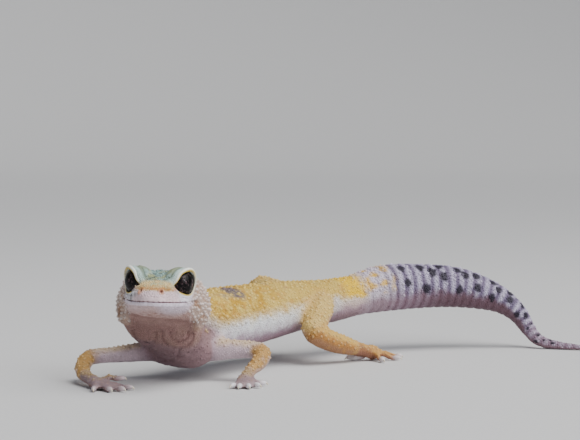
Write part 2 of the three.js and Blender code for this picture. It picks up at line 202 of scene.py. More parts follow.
class Hide:
    """The hide's points in millimetres, its links and its soft regions."""

    def __init__(self, mesh):
        count = len(mesh.vertices)
        self.points = np.empty(count * 3)
        mesh.vertices.foreach_get("co", self.points)
        self.points = self.points.reshape(-1, 3) / MM
        self.links = np.empty(len(mesh.edges) * 2, int)
        mesh.edges.foreach_get("vertices", self.links)
        self.links = self.links.reshape(-1, 2)
        self.degree = np.bincount(self.links.ravel(), minlength=count)[:, None]

    def mean_of_neighbours(self, values):
        total = np.zeros_like(values)
        for column in range(values.shape[1]):
            one, other = self.links.T
            total[:, column] = np.bincount(one, values[other, column], len(values))
            total[:, column] += np.bincount(other, values[one, column], len(values))
        return total / np.maximum(self.degree, 1)

    def relax(self, values, share, rounds):
        for _ in range(rounds):
            values = values + share * (self.mean_of_neighbours(values) - values)
        return values


def owners_of(points, tree, owner):
    """Which flesh node each point lies nearest to, as one column for each node."""
    nearest = [tree.find_nearest(Vector(p) * MM)[2] for p in points]
    shares = np.zeros((len(points), len(FLESH)))
    shares[np.arange(len(points)), owner[nearest]] = 1
    return shares


def share_of(shares, *words):
    columns = [i for i, name in enumerate(FLESH) if name.startswith(words)]
    return shares[:, columns].sum(1)


base, flesh_tree, flesh_owner = hide_base()

# The head's own frame: its origin is the front end of the mouth line, X to the animal's left, Y back along
# the head and Z up, all in millimetres.
SNOUT_TIP = Vector((7.14, -74.13, 23.3))
HEAD_TURN = (
    Matrix.Rotation(math.radians(35.6), 3, "Z")
    @ Matrix.Rotation(math.radians(-5), 3, "X")
    @ Matrix.Rotation(math.radians(2), 3, "Y")
)
LID_EDGE = (
    (4.0, -1.3, 4.3), (3.6, 0.3, 4.3), (2.6, 2.0, 4.35), (1.2, 2.9, 4.45),
    (-0.7, 3.3, 4.6), (-2.2, 2.9, 4.75), (-3.3, 1.5, 4.6), (-3.6, -0.4, 4.35),
    (-2.7, -2.5, 4.3), (-1.0, -3.4, 4.3), (1.2, -3.3, 4.3), (2.8, -2.6, 4.3),
)  # ahead of and above the eye's axis, and from the eye's centre, from the front corner up and round
EYE_LOOK = math.radians(56)


def to_head(points):
    return (points - np.array(SNOUT_TIP)) @ np.array(HEAD_TURN)


def from_head(points):
    return np.asarray(points) @ np.array(HEAD_TURN).T + np.array(SNOUT_TIP)


def closed_curve(corners, count):
    """A smooth closed curve through the corners, as points evenly spaced along its parameter."""
    corners = np.asarray(corners, float)
    t = np.arange(count) * len(corners) / count
    i = t.astype(int)
    u = (t - i)[:, None]
    before, start, end, after = (corners[(i + k) % len(corners)] for k in (-1, 0, 1, 2))
    return 0.5 * (
        2 * start
        + (end - before) * u
        + (2 * before - 5 * start + 4 * end - after) * u**2
        + (3 * start - before - 3 * end + after) * u**3
    )


def eye_frame(hand):
    """The eye's centre in the head's frame, and its axis, forward and up directions."""
    low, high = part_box("eye_left" if hand > 0 else "eye_right")
    centre = to_head(np.array((low + high) / 2 / MM))
    axis = Vector((hand * math.sin(EYE_LOOK), -math.cos(EYE_LOOK), 0.1)).normalized()
    ahead = (Vector((0, 0, 1)).cross(axis) * -hand).normalized()
    above = axis.cross(ahead)
    above *= math.copysign(1, above.z)
    return centre, np.array(axis), np.array(ahead), np.array(above)


def lid_curve(hand, count=240):
    """The lids' edge on one side, in the head's frame."""
    centre, axis, ahead, above = eye_frame(hand)
    corners = [
        centre + a * ahead + b * above + math.sqrt(reach**2 - a * a - b * b) * axis
        for a, b, reach in LID_EDGE
    ]
    return closed_curve(corners, count)


# The line down the middle of neck, trunk and tail, in the row's frame, and where the tail starts on it.
SPINE = (
    (-5.6, -53.3, 21.2), (-7.4, -48.7, 18.8), (-8.4, -42.7, 15.6), (-9.2, -35.7, 14.3), (-11.0, -24.7, 14.4),
    (-12.6, -12.7, 14.9), (-13.0, -1.7, 15.4), (-12.5, 8.3, 15.9), (-11.4, 16.3, 16.2), (-9.3, 28.8, 17.1),
    (-7.6, 34.6, 18.1), (-5.1, 41.0, 18.8), (-0.2, 50.7, 18.9), (5.6, 59.3, 18.4), (12.2, 66.5, 16.0),
    (16.3, 70.0, 13.6), (19.8, 72.7, 9.9), (22.4, 73.9, 5.6), (26.5, 73.7, 2.3), (32.1, 75.3, 1.2),
    (38.4, 77.6, 0.8), (42.8, 80.3, 0.45),
)
TAIL_START = 77.0  # millimetres down the spine from the nape


def open_curve(corners, count):
    """A smooth curve through the corners, as points, with the distance run at each."""
    corners = np.asarray(corners, float)
    padded = np.vstack([2 * corners[0] - corners[1], corners, 2 * corners[-1] - corners[-2]])
    t = np.linspace(0, len(corners) - 1 - 1e-9, count)
    i = t.astype(int)
    u = (t - i)[:, None]
    before, start, end, after = (padded[i + k] for k in (0, 1, 2, 3))
    points = 0.5 * (
        2 * start
        + (end - before) * u
        + (2 * before - 5 * start + 4 * end - after) * u**2
        + (3 * start - before - 3 * end + after) * u**3
    )
    run = np.concatenate([[0], np.cumsum(np.linalg.norm(np.diff(points, axis=0), axis=1))])
    return points, run


spine_points, spine_run = open_curve(SPINE, 900)


def nearest_on(points, line):
    """The nearest of the line's points to each point: its number, and how far away it is."""
    tree = kdtree.KDTree(len(line))
    for index, point in enumerate(line):
        tree.insert(point, index)
    tree.balance()
    found = [tree.find(p) for p in points]
    return np.array([f[1] for f in found]), np.array([f[2] for f in found])


def along_line(points, line, run):
    """Each point's distance down a line and its turn round it from the top, left side positive."""
    index, _ = nearest_on(points, line)
    tangent = np.gradient(line, axis=0)
    tangent /= np.linalg.norm(tangent, axis=1)[:, None]
    side = np.cross(tangent, (0, 0, 1.0))
    side /= np.linalg.norm(side, axis=1)[:, None]
    up = np.cross(side, tangent)
    away = points - line[index]
    turn = np.arctan2((away * side[index]).sum(1), (away * up[index]).sum(1))
    return run[index], turn


def along_spine(points):
    return along_line(points, spine_points, spine_run)


def smooth_step(start, end, values):
    t = np.clip((values - start) / (end - start), 0, 1)
    return t * t * (3 - 2 * t)


def ridge(distance, width):
    """One on a line and zero well away from it."""
    return np.exp(-((distance / width) ** 2))


def mottle(points, size, seed=0):
    """Smooth random values from about -1 to 1, with lumps of about the given size."""
    shifted = points / size + seed * 17.3
    return np.array([noise.noise(p) for p in shifted])


def put_points(mesh, points):
    mesh.vertices.foreach_set("co", (points * MM).ravel())
    mesh.update()


def normals_of(mesh):
    normals = np.empty(len(mesh.vertices) * 3)
    mesh.vertices.foreach_get("normal", normals)
    return normals.reshape(-1, 3)


def settle(mesh):
    """Smooths the hide, more on the trunk than on the head and toes, and draws it back under the scales."""
    hide = Hide(mesh)
    shares = hide.relax(owners_of(hide.points, flesh_tree, flesh_owner), 0.5, 8)
    head = share_of(shares, "head", "lower_jaw")
    digits = share_of(shares, "hand", "foot")
    limbs = share_of(shares, "arm", "shin", "thigh")
    points = hide.relax(hide.points, 0.5 * (1 - head - digits - limbs)[:, None], 34)
    points = hide.relax(points, 0.5 * limbs[:, None], 12)
    points = hide.relax(points, 0.5 * head[:, None], 9)
    points = hide.relax(points, 0.4 * digits[:, None], 3)
    put_points(mesh, points)
    normals = normals_of(mesh)
    proud = np.empty(len(points))
    for index, point in enumerate(points):
        place, facing, _, _ = flesh_tree.find_nearest(Vector(point) * MM)
        proud[index] = (Vector(point) - place / MM).dot(facing)
    proud = hide.relax(np.clip(proud, -0.6, 0.6)[:, None], 0.5, 16)
    put_points(mesh, points - normals * (proud + COAT_DEPTH))


def refine(mesh, chosen):
    """Halves the mesh's edges where both ends are chosen."""
    finer = bmesh.new()
    finer.from_mesh(mesh)
    edges = [e for e in finer.edges if chosen[e.verts[0].index] and chosen[e.verts[1].index]]
    bmesh.ops.subdivide_edges(finer, edges=edges, cuts=1, use_grid_fill=True)
    finer.to_mesh(mesh)
    finer.free()


def mouth_height(back):
    """Height of the closed mouth's line in the head's frame."""
    return 0.55 * (np.maximum(back, 0) / MOUTH_CORNER) ** 2


MOUTH_CORNER = 14.5
NOSTRILS = np.array([(2.1, 2.15, 2.75), (-3.05, 2.7, 2.8)])
NOSTRIL_FLAT = np.array((1.5, 1.0, 0.72))
EARS = np.array([(10.9, 24.0, 0.6), (-10.9, 24.0, 0.6)])

settle(base)
hide = Hide(base)
shares = hide.relax(owners_of(hide.points, flesh_tree, flesh_owner), 0.5, 4)
head_points = to_head(hide.points)
eye_middles = np.array([eye_frame(hand)[0] for hand in (1, -1)])


def off_nearest(points, places):
    return np.min([np.linalg.norm(points - place, axis=1) for place in places], axis=0)


outside_sockets = off_nearest(head_points, eye_middles) > 4.1
face = (share_of(shares, "head", "lower_jaw") > 0.5) & (head_points[:, 1] < 17) & outside_sockets
refine(base, face | (share_of(shares, "hand", "foot") > 0.5))
hide = Hide(base)
head_points = to_head(hide.points)
in_head = np.linalg.norm(head_points - np.array((0, 14, 0)), axis=1) < 19
lid_line = np.vstack([lid_curve(1), lid_curve(-1)])
off_lids = nearest_on(head_points, lid_line)[1]
off_mouth = np.abs(head_points[:, 2] - mouth_height(head_points[:, 1]))
on_mouth = (off_mouth < 0.7) & (head_points[:, 1] < MOUTH_CORNER + 1)
near_holes = (off_nearest(head_points, NOSTRILS) < 1.5) | (off_nearest(head_points, EARS) < 2.4)
outside_sockets = off_nearest(head_points, eye_middles) > 4.1
refine(base, in_head & (on_mouth | near_holes | (off_lids < 1.0) & outside_sockets))
hide = Hide(base)
shares = hide.relax(owners_of(hide.points, flesh_tree, flesh_owner), 0.5, 5)

# ---- hide: sculpted forms ----
# Folds, lids, nostrils, mouth and ears are pressed into the hide, as they are in the living skin, where it
# creases over the flesh below.
def breast_swell(points):
    """The swell of the breast, of the loose skin that runs from it onto the left arm, and of the throat."""
    breast = (points - np.array((-4.0, -45.2, 3.4))) / (8.5, 5.0, 3.4)
    armpit = (points - np.array((0.8, -44.0, 5.0))) / (4.8, 3.4, 3.4)
    throat = (points - np.array((-14.0, -58.5, 11.5))) / (4.5, 5.0, 4.2)
    return sum(size * np.exp(-(p**2).sum(1)) for size, p in ((1.1, breast), (1.6, armpit), (1.7, throat)))


points = hide.relax(hide.points, 0.5, 2)
put_points(base, points)
points += normals_of(base) * breast_swell(points)[:, None]
near_breast = smooth_step(12, 8, np.linalg.norm(points - (-4, -46, 6), axis=1))
points = hide.relax(points, 0.5 * near_breast[:, None], 24)
put_points(base, points)
normals = normals_of(base)
head_share = share_of(shares, "head", "lower_jaw")
head_points = to_head(points)
reach, turn = along_spine(points)


def lid_folds():
    """The rolled upper lid, the groove between it and the eye's dome, and the creases under the eye."""
    push = np.zeros(len(points))
    for hand in (1, -1):
        curve = lid_curve(hand)
        near = np.where(np.linalg.norm(head_points - eye_frame(hand)[0], axis=1) < 9)[0]
        index, distance = nearest_on(head_points[near], curve)
        place = index / len(curve)
        upper = smooth_step(0.02, 0.12, place) * (1 - smooth_step(0.44, 0.56, place))
        lower = smooth_step(0.56, 0.66, place) * (1 - smooth_step(0.93, 1.0, place))
        fold = upper * (0.22 * ridge(distance - 0.9, 0.5) - 0.60 * ridge(distance - 2.0, 0.32))
        fold += lower * (-0.22 * ridge(distance - 1.0, 0.28) - 0.16 * ridge(distance - 2.1, 0.35))
        outside = np.linalg.norm(head_points[near] - eye_frame(hand)[0], axis=1) > 4.1
        push[near] += fold * outside
    return push


GAPE_CREASE = ((9.5, 14.2, 0.6), (10.6, 15.7, -0.1), (11.2, 17.4, -1.7), (11.0, 19.4, -4.4))


def mouth_folds():
    back = head_points[:, 1]
    above = head_points[:, 2] - mouth_height(back)
    reaches = (1 - smooth_step(MOUTH_CORNER - 0.6, MOUTH_CORNER + 0.8, back)) * (head_share > 0.3)
    lips = 0.12 * ridge(above - 0.62, 0.4) + 0.10 * ridge(above + 0.62, 0.4)
    push = reaches * (lips - 0.42 * ridge(above, 0.2))
    for hand in (1, -1):
        crease, _ = open_curve([(hand * x, y, z) for x, y, z in GAPE_CREASE], 60)
        index, distance = nearest_on(head_points, crease)
        push -= 0.55 * ridge(distance, 0.45) * (1 - smooth_step(40, 59, index))
    return push


def throat_creases():
    """How near each point is to the crease behind the chin and to the loose arcs of skin on the throat."""
    side, back, high = head_points.T
    throat = np.clip(head_share + share_of(shares, "neck"), 0, 1) * smooth_step(-2.0, -3.2, high)
    edge = high + 6.0 + 0.11 * side - 0.10 * back + 0.45 * mottle(points, 3, 6)
    chin = ridge(edge, 0.6) * smooth_step(24, 16, back)
    arcs = np.zeros(len(points))
    for x, z, size in ((4.6, -8.2, 2.4), (4.2, -8.6, 4.2), (-4.6, -8.6, 3.2), (0.5, -12.5, 4.0)):
        arcs = np.maximum(arcs, ridge(np.hypot(side - x, (high - z) * 1.3) - size, 0.4) * (high < z + 1.0))
    return throat * chin, throat * arcs


def throat_folds():
    chin, arcs = throat_creases()
    return -0.45 * chin - 0.38 * arcs


def holes():
    push = np.zeros(len(points))
    for place in NOSTRILS:
        distance = np.linalg.norm((head_points - place) * NOSTRIL_FLAT, axis=1)
        push += 0.22 * ridge(distance - 0.85, 0.35) - 0.85 * ridge(distance, 0.42)
    for place in EARS:
        stretched = (head_points - place) * (1, 1, 0.55)
        distance = np.linalg.norm(stretched, axis=1)
        push += 0.18 * ridge(distance - 1.25, 0.5) - 1.5 * ridge(distance, 0.62)
    return push


NARROWING = 0.0036  # share of the first ring's width that the rings lose with each mm down the tail
RING_LOSS = 0.0122  # share of its width that each ring is narrower than the one before


def ring_phase(run):
    """How far through its ring of the tail a place is, from 0 to 1; the rings are closer towards the tip."""
    down = np.clip(run - TAIL_START, 0, 105)
    return -np.log(1 - NARROWING * down) / RING_LOSS % 1


def tail_rings():
    """The grooves between the rings of the tail, deepest where it is thick."""
    groove = np.abs(np.cos(np.pi * ring_phase(reach))) ** 8
    tail = share_of(shares, "tail") * smooth_step(TAIL_START - 4, TAIL_START + 10, reach)
    return -(0.06 + 0.20 * smooth_step(150, 120, reach)) * groove * tail


def body_folds():
    """Loose skin: fine creases on the neck and at the roots of the limbs, and the lie of the ribs."""
    trunk = share_of(shares, "neck", "chest", "belly")
    limbs = share_of(shares, "arm", "thigh", "shin")
    neck = share_of(shares, "neck")
    wrinkle = mottle(points * (1, 0.45, 1), 1.7, 1)
    push = -0.16 * trunk * smooth_step(0.25, 0.6, np.abs(wrinkle)) * smooth_step(1.2, 2.2, np.abs(turn))
    push += 0.10 * trunk * mottle(points, 5.0, 2)
    rings = np.sin(reach * 2.1 + 1.5 * mottle(points, 6, 3))
    push -= 0.20 * neck * smooth_step(0.55, 1.0, rings) * smooth_step(0.6, 1.4, np.abs(turn))
    return push + 0.10 * limbs * mottle(points, 1.8, 4)


push = lid_folds() + mouth_folds() + throat_folds() + holes() + tail_rings() + body_folds()
push += 0.03 * mottle(points, 0.9, 5)
put_points(base, points + normals * push[:, None])

# ---- hide: markings ----
# The colour is laid on in thin washes: a golden back over white flanks and a lilac belly, a grey-green
# crown, pinkish jaws, and a pale ringed tail with inky spots. Hide and scales carry the same colours.
# Some washes are partly painted shade and painted light: shade under the jaws, throat, body, tail, hands and
# feet and in creases, grooves and holes; light on the tops of shins and feet, on the tail rings' crests and
# on one side of the jaw.
SPOTTED_RINGS = range(7, 28)
HIGH_ROW = 37  # degrees round from the top of the tail
LOW_ROW = 82
ROW_SWAY = 11  # how far a row's spots stand off to either side of it, in degrees


class Paint:
    """The colours of a set of points, changed one wash at a time."""

    def __init__(self, count, red, green, blue):
        self.colours = np.tile(linear(red, green, blue), (count, 1))

    def wash(self, share, red, green, blue):
        share = np.clip(share, 0, 1)[:, None]
        self.colours += share * (np.array(linear(red, green, blue)) - self.colours)


def band(values, start, end, soft):
    """One between start and end, fading to zero over a soft edge."""
    begun = smooth_step(start - soft, start + soft, values)
    return begun * (1 - smooth_step(end - soft, end + soft, values))


def near(place, size):
    """One at a place in the head's frame, fading out at the given half sizes."""
    offset = (head_points - np.array(place)) / np.array(size)
    return np.exp(-((offset**2).sum(1) ** 1.5))


def paint_trunk(paint):
    degrees = np.degrees(np.abs(turn))
    cloud = mottle(points, 3.4, 21)
    fine = mottle(points, 1.1, 22)
    level = degrees + 9 * cloud + 6 * fine
    paint.wash(1 - smooth_step(110, 134, level), 0.93, 0.94, 0.95)
    golden = 1 - smooth_step(68, 100, level - 12 * smooth_step(26, 8, reach))
    paint.wash(golden, 0.84, 0.73, 0.39)
    rich = golden * (0.30 + 0.70 * band(points[:, 1], -43, -12, 5))
    paint.wash(rich * smooth_step(-0.35, 0.30, cloud + 0.6 * fine), 0.77, 0.61, 0.20)
    paint.wash(golden * smooth_step(0.10, 0.45, mottle(points, 1.9, 23)) * 0.6, 0.76, 0.57, 0.26)
    midline = 1 - smooth_step(26, 50, degrees + 18 * cloud)
    broken = smooth_step(-0.55, -0.05, mottle(points, 1.7, 25))
    faint = 0.4 * smooth_step(0.1, 0.5, mottle(points, 4.5, 24)) * (1 - smooth_step(66, 72, reach))
    paint.wash(midline * faint * broken, 0.52, 0.49, 0.55)
    offset = (points - np.array((-7.0, -28.5, 22.5))) / (5.5, 4.0, 4.0)
    lavender = 1 - smooth_step(0.6, 1.15, np.linalg.norm(offset, axis=1) + 0.3 * cloud)
    paint.wash(0.85 * lavender * smooth_step(-0.55, -0.1, mottle(points, 1.1, 26)), 0.38, 0.35, 0.42)
    patch = band(reach, 76.5, 85.5, 1.6) * (1 - smooth_step(78, 96, level))
    paint.wash(patch, 0.91, 0.75, 0.18)
    hip = band(reach, 66, 73, 2.0) * band(level, 76, 122, 9)
    paint.wash(0.8 * hip, 0.86, 0.85, 0.86)
    rump = band(reach, 73, 88, 3.0) * smooth_step(84, 98, level)
    paint.wash(0.85 * rump, 0.82, 0.72, 0.68)
    paint.wash(0.7 * smooth_step(97, 120, level), 0.63, 0.51, 0.60)


def flank_spots(seed):
    """One flank's spots in two swaying rows, a high one on most rings and a low one on every other ring."""
    dice = np.random.default_rng(seed)
    spots = []
    for ring in SPOTTED_RINGS:
        run = TAIL_START + (1 - math.exp(-RING_LOSS * ring)) / NARROWING + dice.uniform(-0.6, 0.6)
        half = np.interp(run, (98, 122, 155), (0.85, 1.0, 0.42)) * dice.uniform(0.85, 1.2)
        sway = ROW_SWAY * (-1) ** ring + dice.uniform(-6, 6)
        if ring % 4:
            spots.append((run, HIGH_ROW + sway, half))
        if ring % 2:
            spots.append((run + 0.8, LOW_ROW - 1.3 * sway * (-1) ** (ring // 2), half))
    return spots


def spots_at(spots, side):
    """How inky each point is from one flank's spots: they are taller than wide, as they follow the rings."""
    ink = np.zeros(len(points))
    thick = np.interp(reach, (84, 100, 120, 140, 160), (8, 9, 8, 4.5, 2))
    angle = np.degrees(turn * side)
    ragged = 0.42 * mottle(points, 1.0, 31)
    for run, at, half in spots:
        along = (reach - run) / half
        across = np.radians((angle - at + 180) % 360 - 180) * thick / (half * 1.5)
        ink = np.maximum(ink, 1 - smooth_step(0.95, 1.55, 0.86 * np.hypot(along, across) + ragged))
    return ink


def paint_tail(paint):
    tail = smooth_step(82.5, 88, reach + 1.5 * mottle(points, 2, 32)) * (1 - head_share)
    degrees = np.degrees(np.abs(turn))
    level = degrees + 12 * mottle(points, 2.4, 33)
    paint.wash(tail, 0.80, 0.76, 0.82)
    paint.wash(tail * smooth_step(92, 100, reach), 0.66, 0.62, 0.74)
    warm = tail * (1 - smooth_step(95, 98, reach)) * smooth_step(-0.05, 0.35, mottle(points, 2.4, 34))
    paint.wash(warm * (1 - smooth_step(80, 100, degrees)), 0.88, 0.72, 0.36)
    # The tail's rings are painted paler on their crests and dark lavender in their grooves: partly the
    # rings' own colours, partly painted light on the crests and painted shade in the grooves.
    groove = np.abs(np.cos(np.pi * ring_phase(reach))) ** 3
    crest = np.abs(np.sin(np.pi * ring_phase(reach))) ** 6
    ringed = tail * smooth_step(90, 97, reach)
    paint.wash(0.55 * ringed * crest, 0.84, 0.82, 0.90)
    paint.wash(0.85 * ringed * groove, 0.33, 0.27, 0.38)
    # The tail's underside is painted darker mauve, and darker brown-mauve further down the tail: partly its
    # own colour, partly painted shade beneath the tail.
    paint.wash(0.75 * tail * smooth_step(88, 122, level), 0.56, 0.43, 0.48)
    paint.wash(0.8 * tail * smooth_step(98, 116, reach) * smooth_step(84, 112, level), 0.38, 0.26, 0.30)
    paint.wash(0.5 * tail * smooth_step(140, 152, reach), 0.64, 0.52, 0.56)
    ink = np.maximum(spots_at(flank_spots(35), 1), spots_at(flank_spots(36), -1))
    paint.wash(0.95 * ink * tail, 0.11, 0.08, 0.15)


def paint_limbs(paint):
    """Limb colours run into each other over the joints, and the outer side's colour runs onto the foot."""
    blended = hide.relax(shares, 0.5, 40)
    upward = normals[:, 2]
    cloud = mottle(points, 1.6, 41)
    fine = mottle(points, 0.7, 42)
    legs = smooth_step(0.25, 0.7, share_of(blended, "thigh", "shin", "foot"))
    paint.wash(legs, 0.82, 0.67, 0.42)
    arms = smooth_step(0.3, 0.8, share_of(blended, "arm_fore", "hand"))
    paint.wash(arms, 0.77, 0.64, 0.50)
    upper = share_of(blended, "arm_upper")
    paint.wash(upper, 0.83, 0.75, 0.79)
    paint.wash(0.75 * upper * smooth_step(0.15, 0.85, upward + 0.25 * cloud), 0.84, 0.74, 0.58)
    fore = smooth_step(0.10, 0.75, share_of(blended, "arm_fore") + 0.15 * cloud)
    paint.wash(fore, 0.75, 0.63, 0.56)
    paint.wash(0.9 * fore * smooth_step(-0.25, 0.35, upward + 0.9 * cloud), 0.75, 0.58, 0.30)
    thigh = share_of(blended, "thigh")
    outer = smooth_step(-0.5, 0.1, upward + 0.3 * cloud)
    paint.wash(thigh * outer, 0.86, 0.74, 0.44)
    paint.wash(thigh * (1 - outer), 0.82, 0.70, 0.60)
    shin = smooth_step(0.15, 0.95, share_of(blended, "shin") + 0.12 * cloud)
    # The shin is painted orange, browner below and in a band along its side, and paler yellow on top: partly
    # its own colours, partly painted shade below and painted light on top.
    paint.wash(shin, 0.78, 0.59, 0.32)
    paint.wash(0.7 * shin * smooth_step(0.0, -0.6, upward), 0.60, 0.43, 0.36)
    paint.wash(0.75 * shin * smooth_step(0.05, 0.6, upward + 0.2 * cloud), 0.86, 0.72, 0.37)
    paint.wash(0.6 * shin * ridge(upward + 0.12 + 0.25 * cloud, 0.24), 0.60, 0.37, 0.16)
    paint.wash(0.4 * np.clip(thigh + shin, 0, 1) * smooth_step(0.1, 0.5, cloud), 0.80, 0.58, 0.26)
    hands = smooth_step(0.55, 1.1, share_of(blended, "hand") + 0.15 * fine)
    feet = smooth_step(0.50, 1.0, share_of(blended, "foot") + 0.15 * fine)
    # The hands are painted a dark pinkish grey: partly their own colour, partly painted shade, as they lie
    # low under the head and chest.
    paint.wash(hands, 0.57, 0.49, 0.52)
    paint.wash(feet, 0.67, 0.47, 0.31)
    outside = smooth_step(-0.1, 0.5, upward + 0.5 * fine)
    # The top of each foot is painted paler orange: partly its own colour, partly painted light on the top.
    paint.wash(0.8 * feet * smooth_step(0.15, 0.8, upward + 0.4 * fine), 0.82, 0.64, 0.34)
    paint.wash(0.8 * hands * outside * smooth_step(2.2, 4.0, points[:, 2] + 0.8 * cloud), 0.72, 0.60, 0.36)
    # Painted shade: the undersides of hands and feet are painted darker brownish pink.
    paint.wash(0.6 * (hands + feet) * smooth_step(0.1, -0.6, upward), 0.58, 0.40, 0.36)
    tips = [sum(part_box(n), Vector()) / 2 / MM for n in sorted(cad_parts) if n.startswith("claw")]
    off_tip = off_nearest(points, np.array(tips))
    paint.wash(0.7 * np.clip(hands + feet, 0, 1) * (1 - smooth_step(1.2, 3.4, off_tip)), 0.78, 0.70, 0.72)


def paint_head(paint):
    side, back, high = head_points.T
    above = high - mouth_height(back)
    head = smooth_step(0.25, 0.75, head_share)
    speck = mottle(points, 0.75, 51)
    cloud = mottle(points, 2.2, 52)
    paint.wash(head, 0.80, 0.74, 0.73)
    crown = head * smooth_step(3.6, 5.4, high + 0.5 * cloud) * smooth_step(5.6, 8.2, back + 0.8 * cloud)
    paint.wash(crown, 0.55, 0.67, 0.65)
    paint.wash(crown * 0.8 * smooth_step(0.0, 0.45, cloud), 0.66, 0.67, 0.46)
    paint.wash(crown * 0.8 * smooth_step(0.08, 0.32, speck), 0.35, 0.40, 0.41)
    paint.wash(crown * 0.5 * smooth_step(0.05, 0.4, mottle(points, 1.3, 54)), 0.60, 0.70, 0.70)
    for hand in (1, -1):
        olive = (3.0, 4.2, 2.6) if hand > 0 else (2.2, 3.2, 2.0)
        paint.wash(0.85 * near((hand * 5.0, 12.0, 8.6), olive), 0.58, 0.61, 0.48)
        paint.wash(0.9 * near((hand * 4.4, 8.4, 5.6), (1.2, 2.0, 1.3)), 0.66, 0.78, 0.75)
        curve = lid_curve(hand)
        place, off_lid = nearest_on(head_points, curve)
        upper = band(place / len(curve), 0.04, 0.50, 0.05)
        paint.wash(1 - smooth_step(0.9, 2.1, off_lid), 0.74, 0.83, 0.81)
        # Painted shade: the groove between the upper lid's roll and the eye's dome is painted dark
        # grey-green.
        paint.wash(0.8 * upper * ridge(off_lid - 2.0, 0.45), 0.50, 0.55, 0.48)
    band_share = head * smooth_step(2.5, 3.1, high) * (1 - smooth_step(6.6, 8.4, back))
    band_share = band_share * (np.abs(side) < 6.5)
    paint.wash(band_share * (1 - smooth_step(4.0, 5.4, np.abs(side))), 0.86, 0.77, 0.56)
    paint.wash(band_share * 0.7 * smooth_step(0.0, 0.4, mottle(points, 1.2, 55)), 0.72, 0.75, 0.62)
    paint.wash(band_share * ridge(high - 3.3 - 0.3 * cloud, 0.6) * (0.75 + speck), 0.76, 0.50, 0.22)
    paint.wash(band_share * 0.6 * smooth_step(0.22, 0.5, speck), 0.82, 0.63, 0.32)
    snout = head * (1 - smooth_step(2.2, 3.1, high + 0.4 * speck))
    snout = snout * (above > 0) * (1 - smooth_step(6, 9, back))
    paint.wash(snout, 0.87, 0.78, 0.80)
    cheek = head * (above > 0.1) * (1 - smooth_step(2.8, 3.8, high)) * smooth_step(5, 8, back)
    paint.wash(cheek, 0.88, 0.86, 0.90)
    blotch = near((-6.2, 6.6, 1.9), (2.6, 4.6, 1.5))
    paint.wash(blotch, 0.88, 0.89, 0.91)
    paint.wash(0.9 * blotch * smooth_step(-0.02, 0.14, mottle(points, 1.25, 56)), 0.30, 0.29, 0.32)
    jaw = head * (above < 0)
    paint.wash(jaw, 0.83, 0.74, 0.75)
    # The lower jaw is painted brownish pink low down, reaching higher on the animal's right side: partly its
    # own colour, partly painted shade under the jaw and on the side away from the light.
    low_jaw_and_shade = smooth_step(-1.0, -4.2, above + 0.8 * cloud + 1.3 * smooth_step(1, -3, side) - 0.9)
    paint.wash(jaw * low_jaw_and_shade, 0.73, 0.60, 0.57)
    paint.wash(jaw * 0.5 * smooth_step(0.0, 0.4, speck) * band(above, -4.5, -1, 0.6), 0.88, 0.78, 0.77)
    # The throat is painted dark brownish mauve: partly its own colour, partly painted shade under the head.
    throat = np.clip(head_share + share_of(shares, "neck"), 0, 1)
    throat = throat * smooth_step(-3.6, -8.4, above + 0.11 * side + 0.6 * cloud)
    paint.wash(throat * (1 - smooth_step(26, 34, back)), 0.61, 0.48, 0.46)
    paint.wash(0.4 * throat * smooth_step(0.1, 0.5, mottle(points, 4, 53)), 0.66, 0.55, 0.50)
    temple = head * smooth_step(7.4, 9.2, np.abs(side)) * smooth_step(11.5, 14.5, back)
    temple *= smooth_step(-7.4, -5.4, high + cloud)
    paint.wash(temple, 0.76, 0.67, 0.62)
    paint.wash(temple * 0.75 * smooth_step(0.05, 0.45, cloud + 0.4 * speck), 0.66, 0.50, 0.38)
    # Painted shade: the crease behind the chin and the folds of the throat are painted dark brown.
    chin, arcs = throat_creases()
    paint.wash(0.45 * np.maximum(chin, arcs), 0.46, 0.31, 0.31)
    # The pale lilac under the mouth is kept to the animal's left side: partly its own colour, partly painted
    # light on the side turned to the light.
    lilac = smooth_step(-0.5, 4.0, side) * smooth_step(-4.4, -2.0, above) * (1 - smooth_step(11, 14, back))
    paint.wash(0.6 * jaw * lilac, 0.85, 0.82, 0.89)
    dark_chin = smooth_step(0.1, 0.4, mottle(points, 1.1, 57)) * band(above, -4.6, -2.4, 0.8)
    paint.wash(0.5 * jaw * dark_chin * (1 - smooth_step(3.0, 5.0, np.abs(side + 1))), 0.60, 0.44, 0.38)
    rim = head * band(above, -0.75, -0.12, 0.12) * (1 - smooth_step(MOUTH_CORNER - 2, MOUTH_CORNER, back))
    paint.wash(0.8 * rim, 0.88, 0.84, 0.90)
    # The mouth's line is painted dark red: partly the mouth's own red, partly painted shade in the slit
    # between the lips.
    gape = head * (1 - smooth_step(MOUTH_CORNER - 0.5, MOUTH_CORNER + 0.6, back))
    paint.wash(0.95 * gape * ridge(above, 0.16), 0.55, 0.25, 0.24)
    for place in NOSTRILS:
        off_hole = np.linalg.norm((head_points - place) * NOSTRIL_FLAT, axis=1)
        paint.wash(0.85 * ridge(off_hole - 0.8, 0.4), 0.84, 0.60, 0.40)
        # The nostrils' holes are painted dark purple-red: partly their own colour, partly painted shade in
        # the holes.
        paint.wash(ridge(off_hole, 0.55), 0.46, 0.11, 0.27)
    for place in EARS:
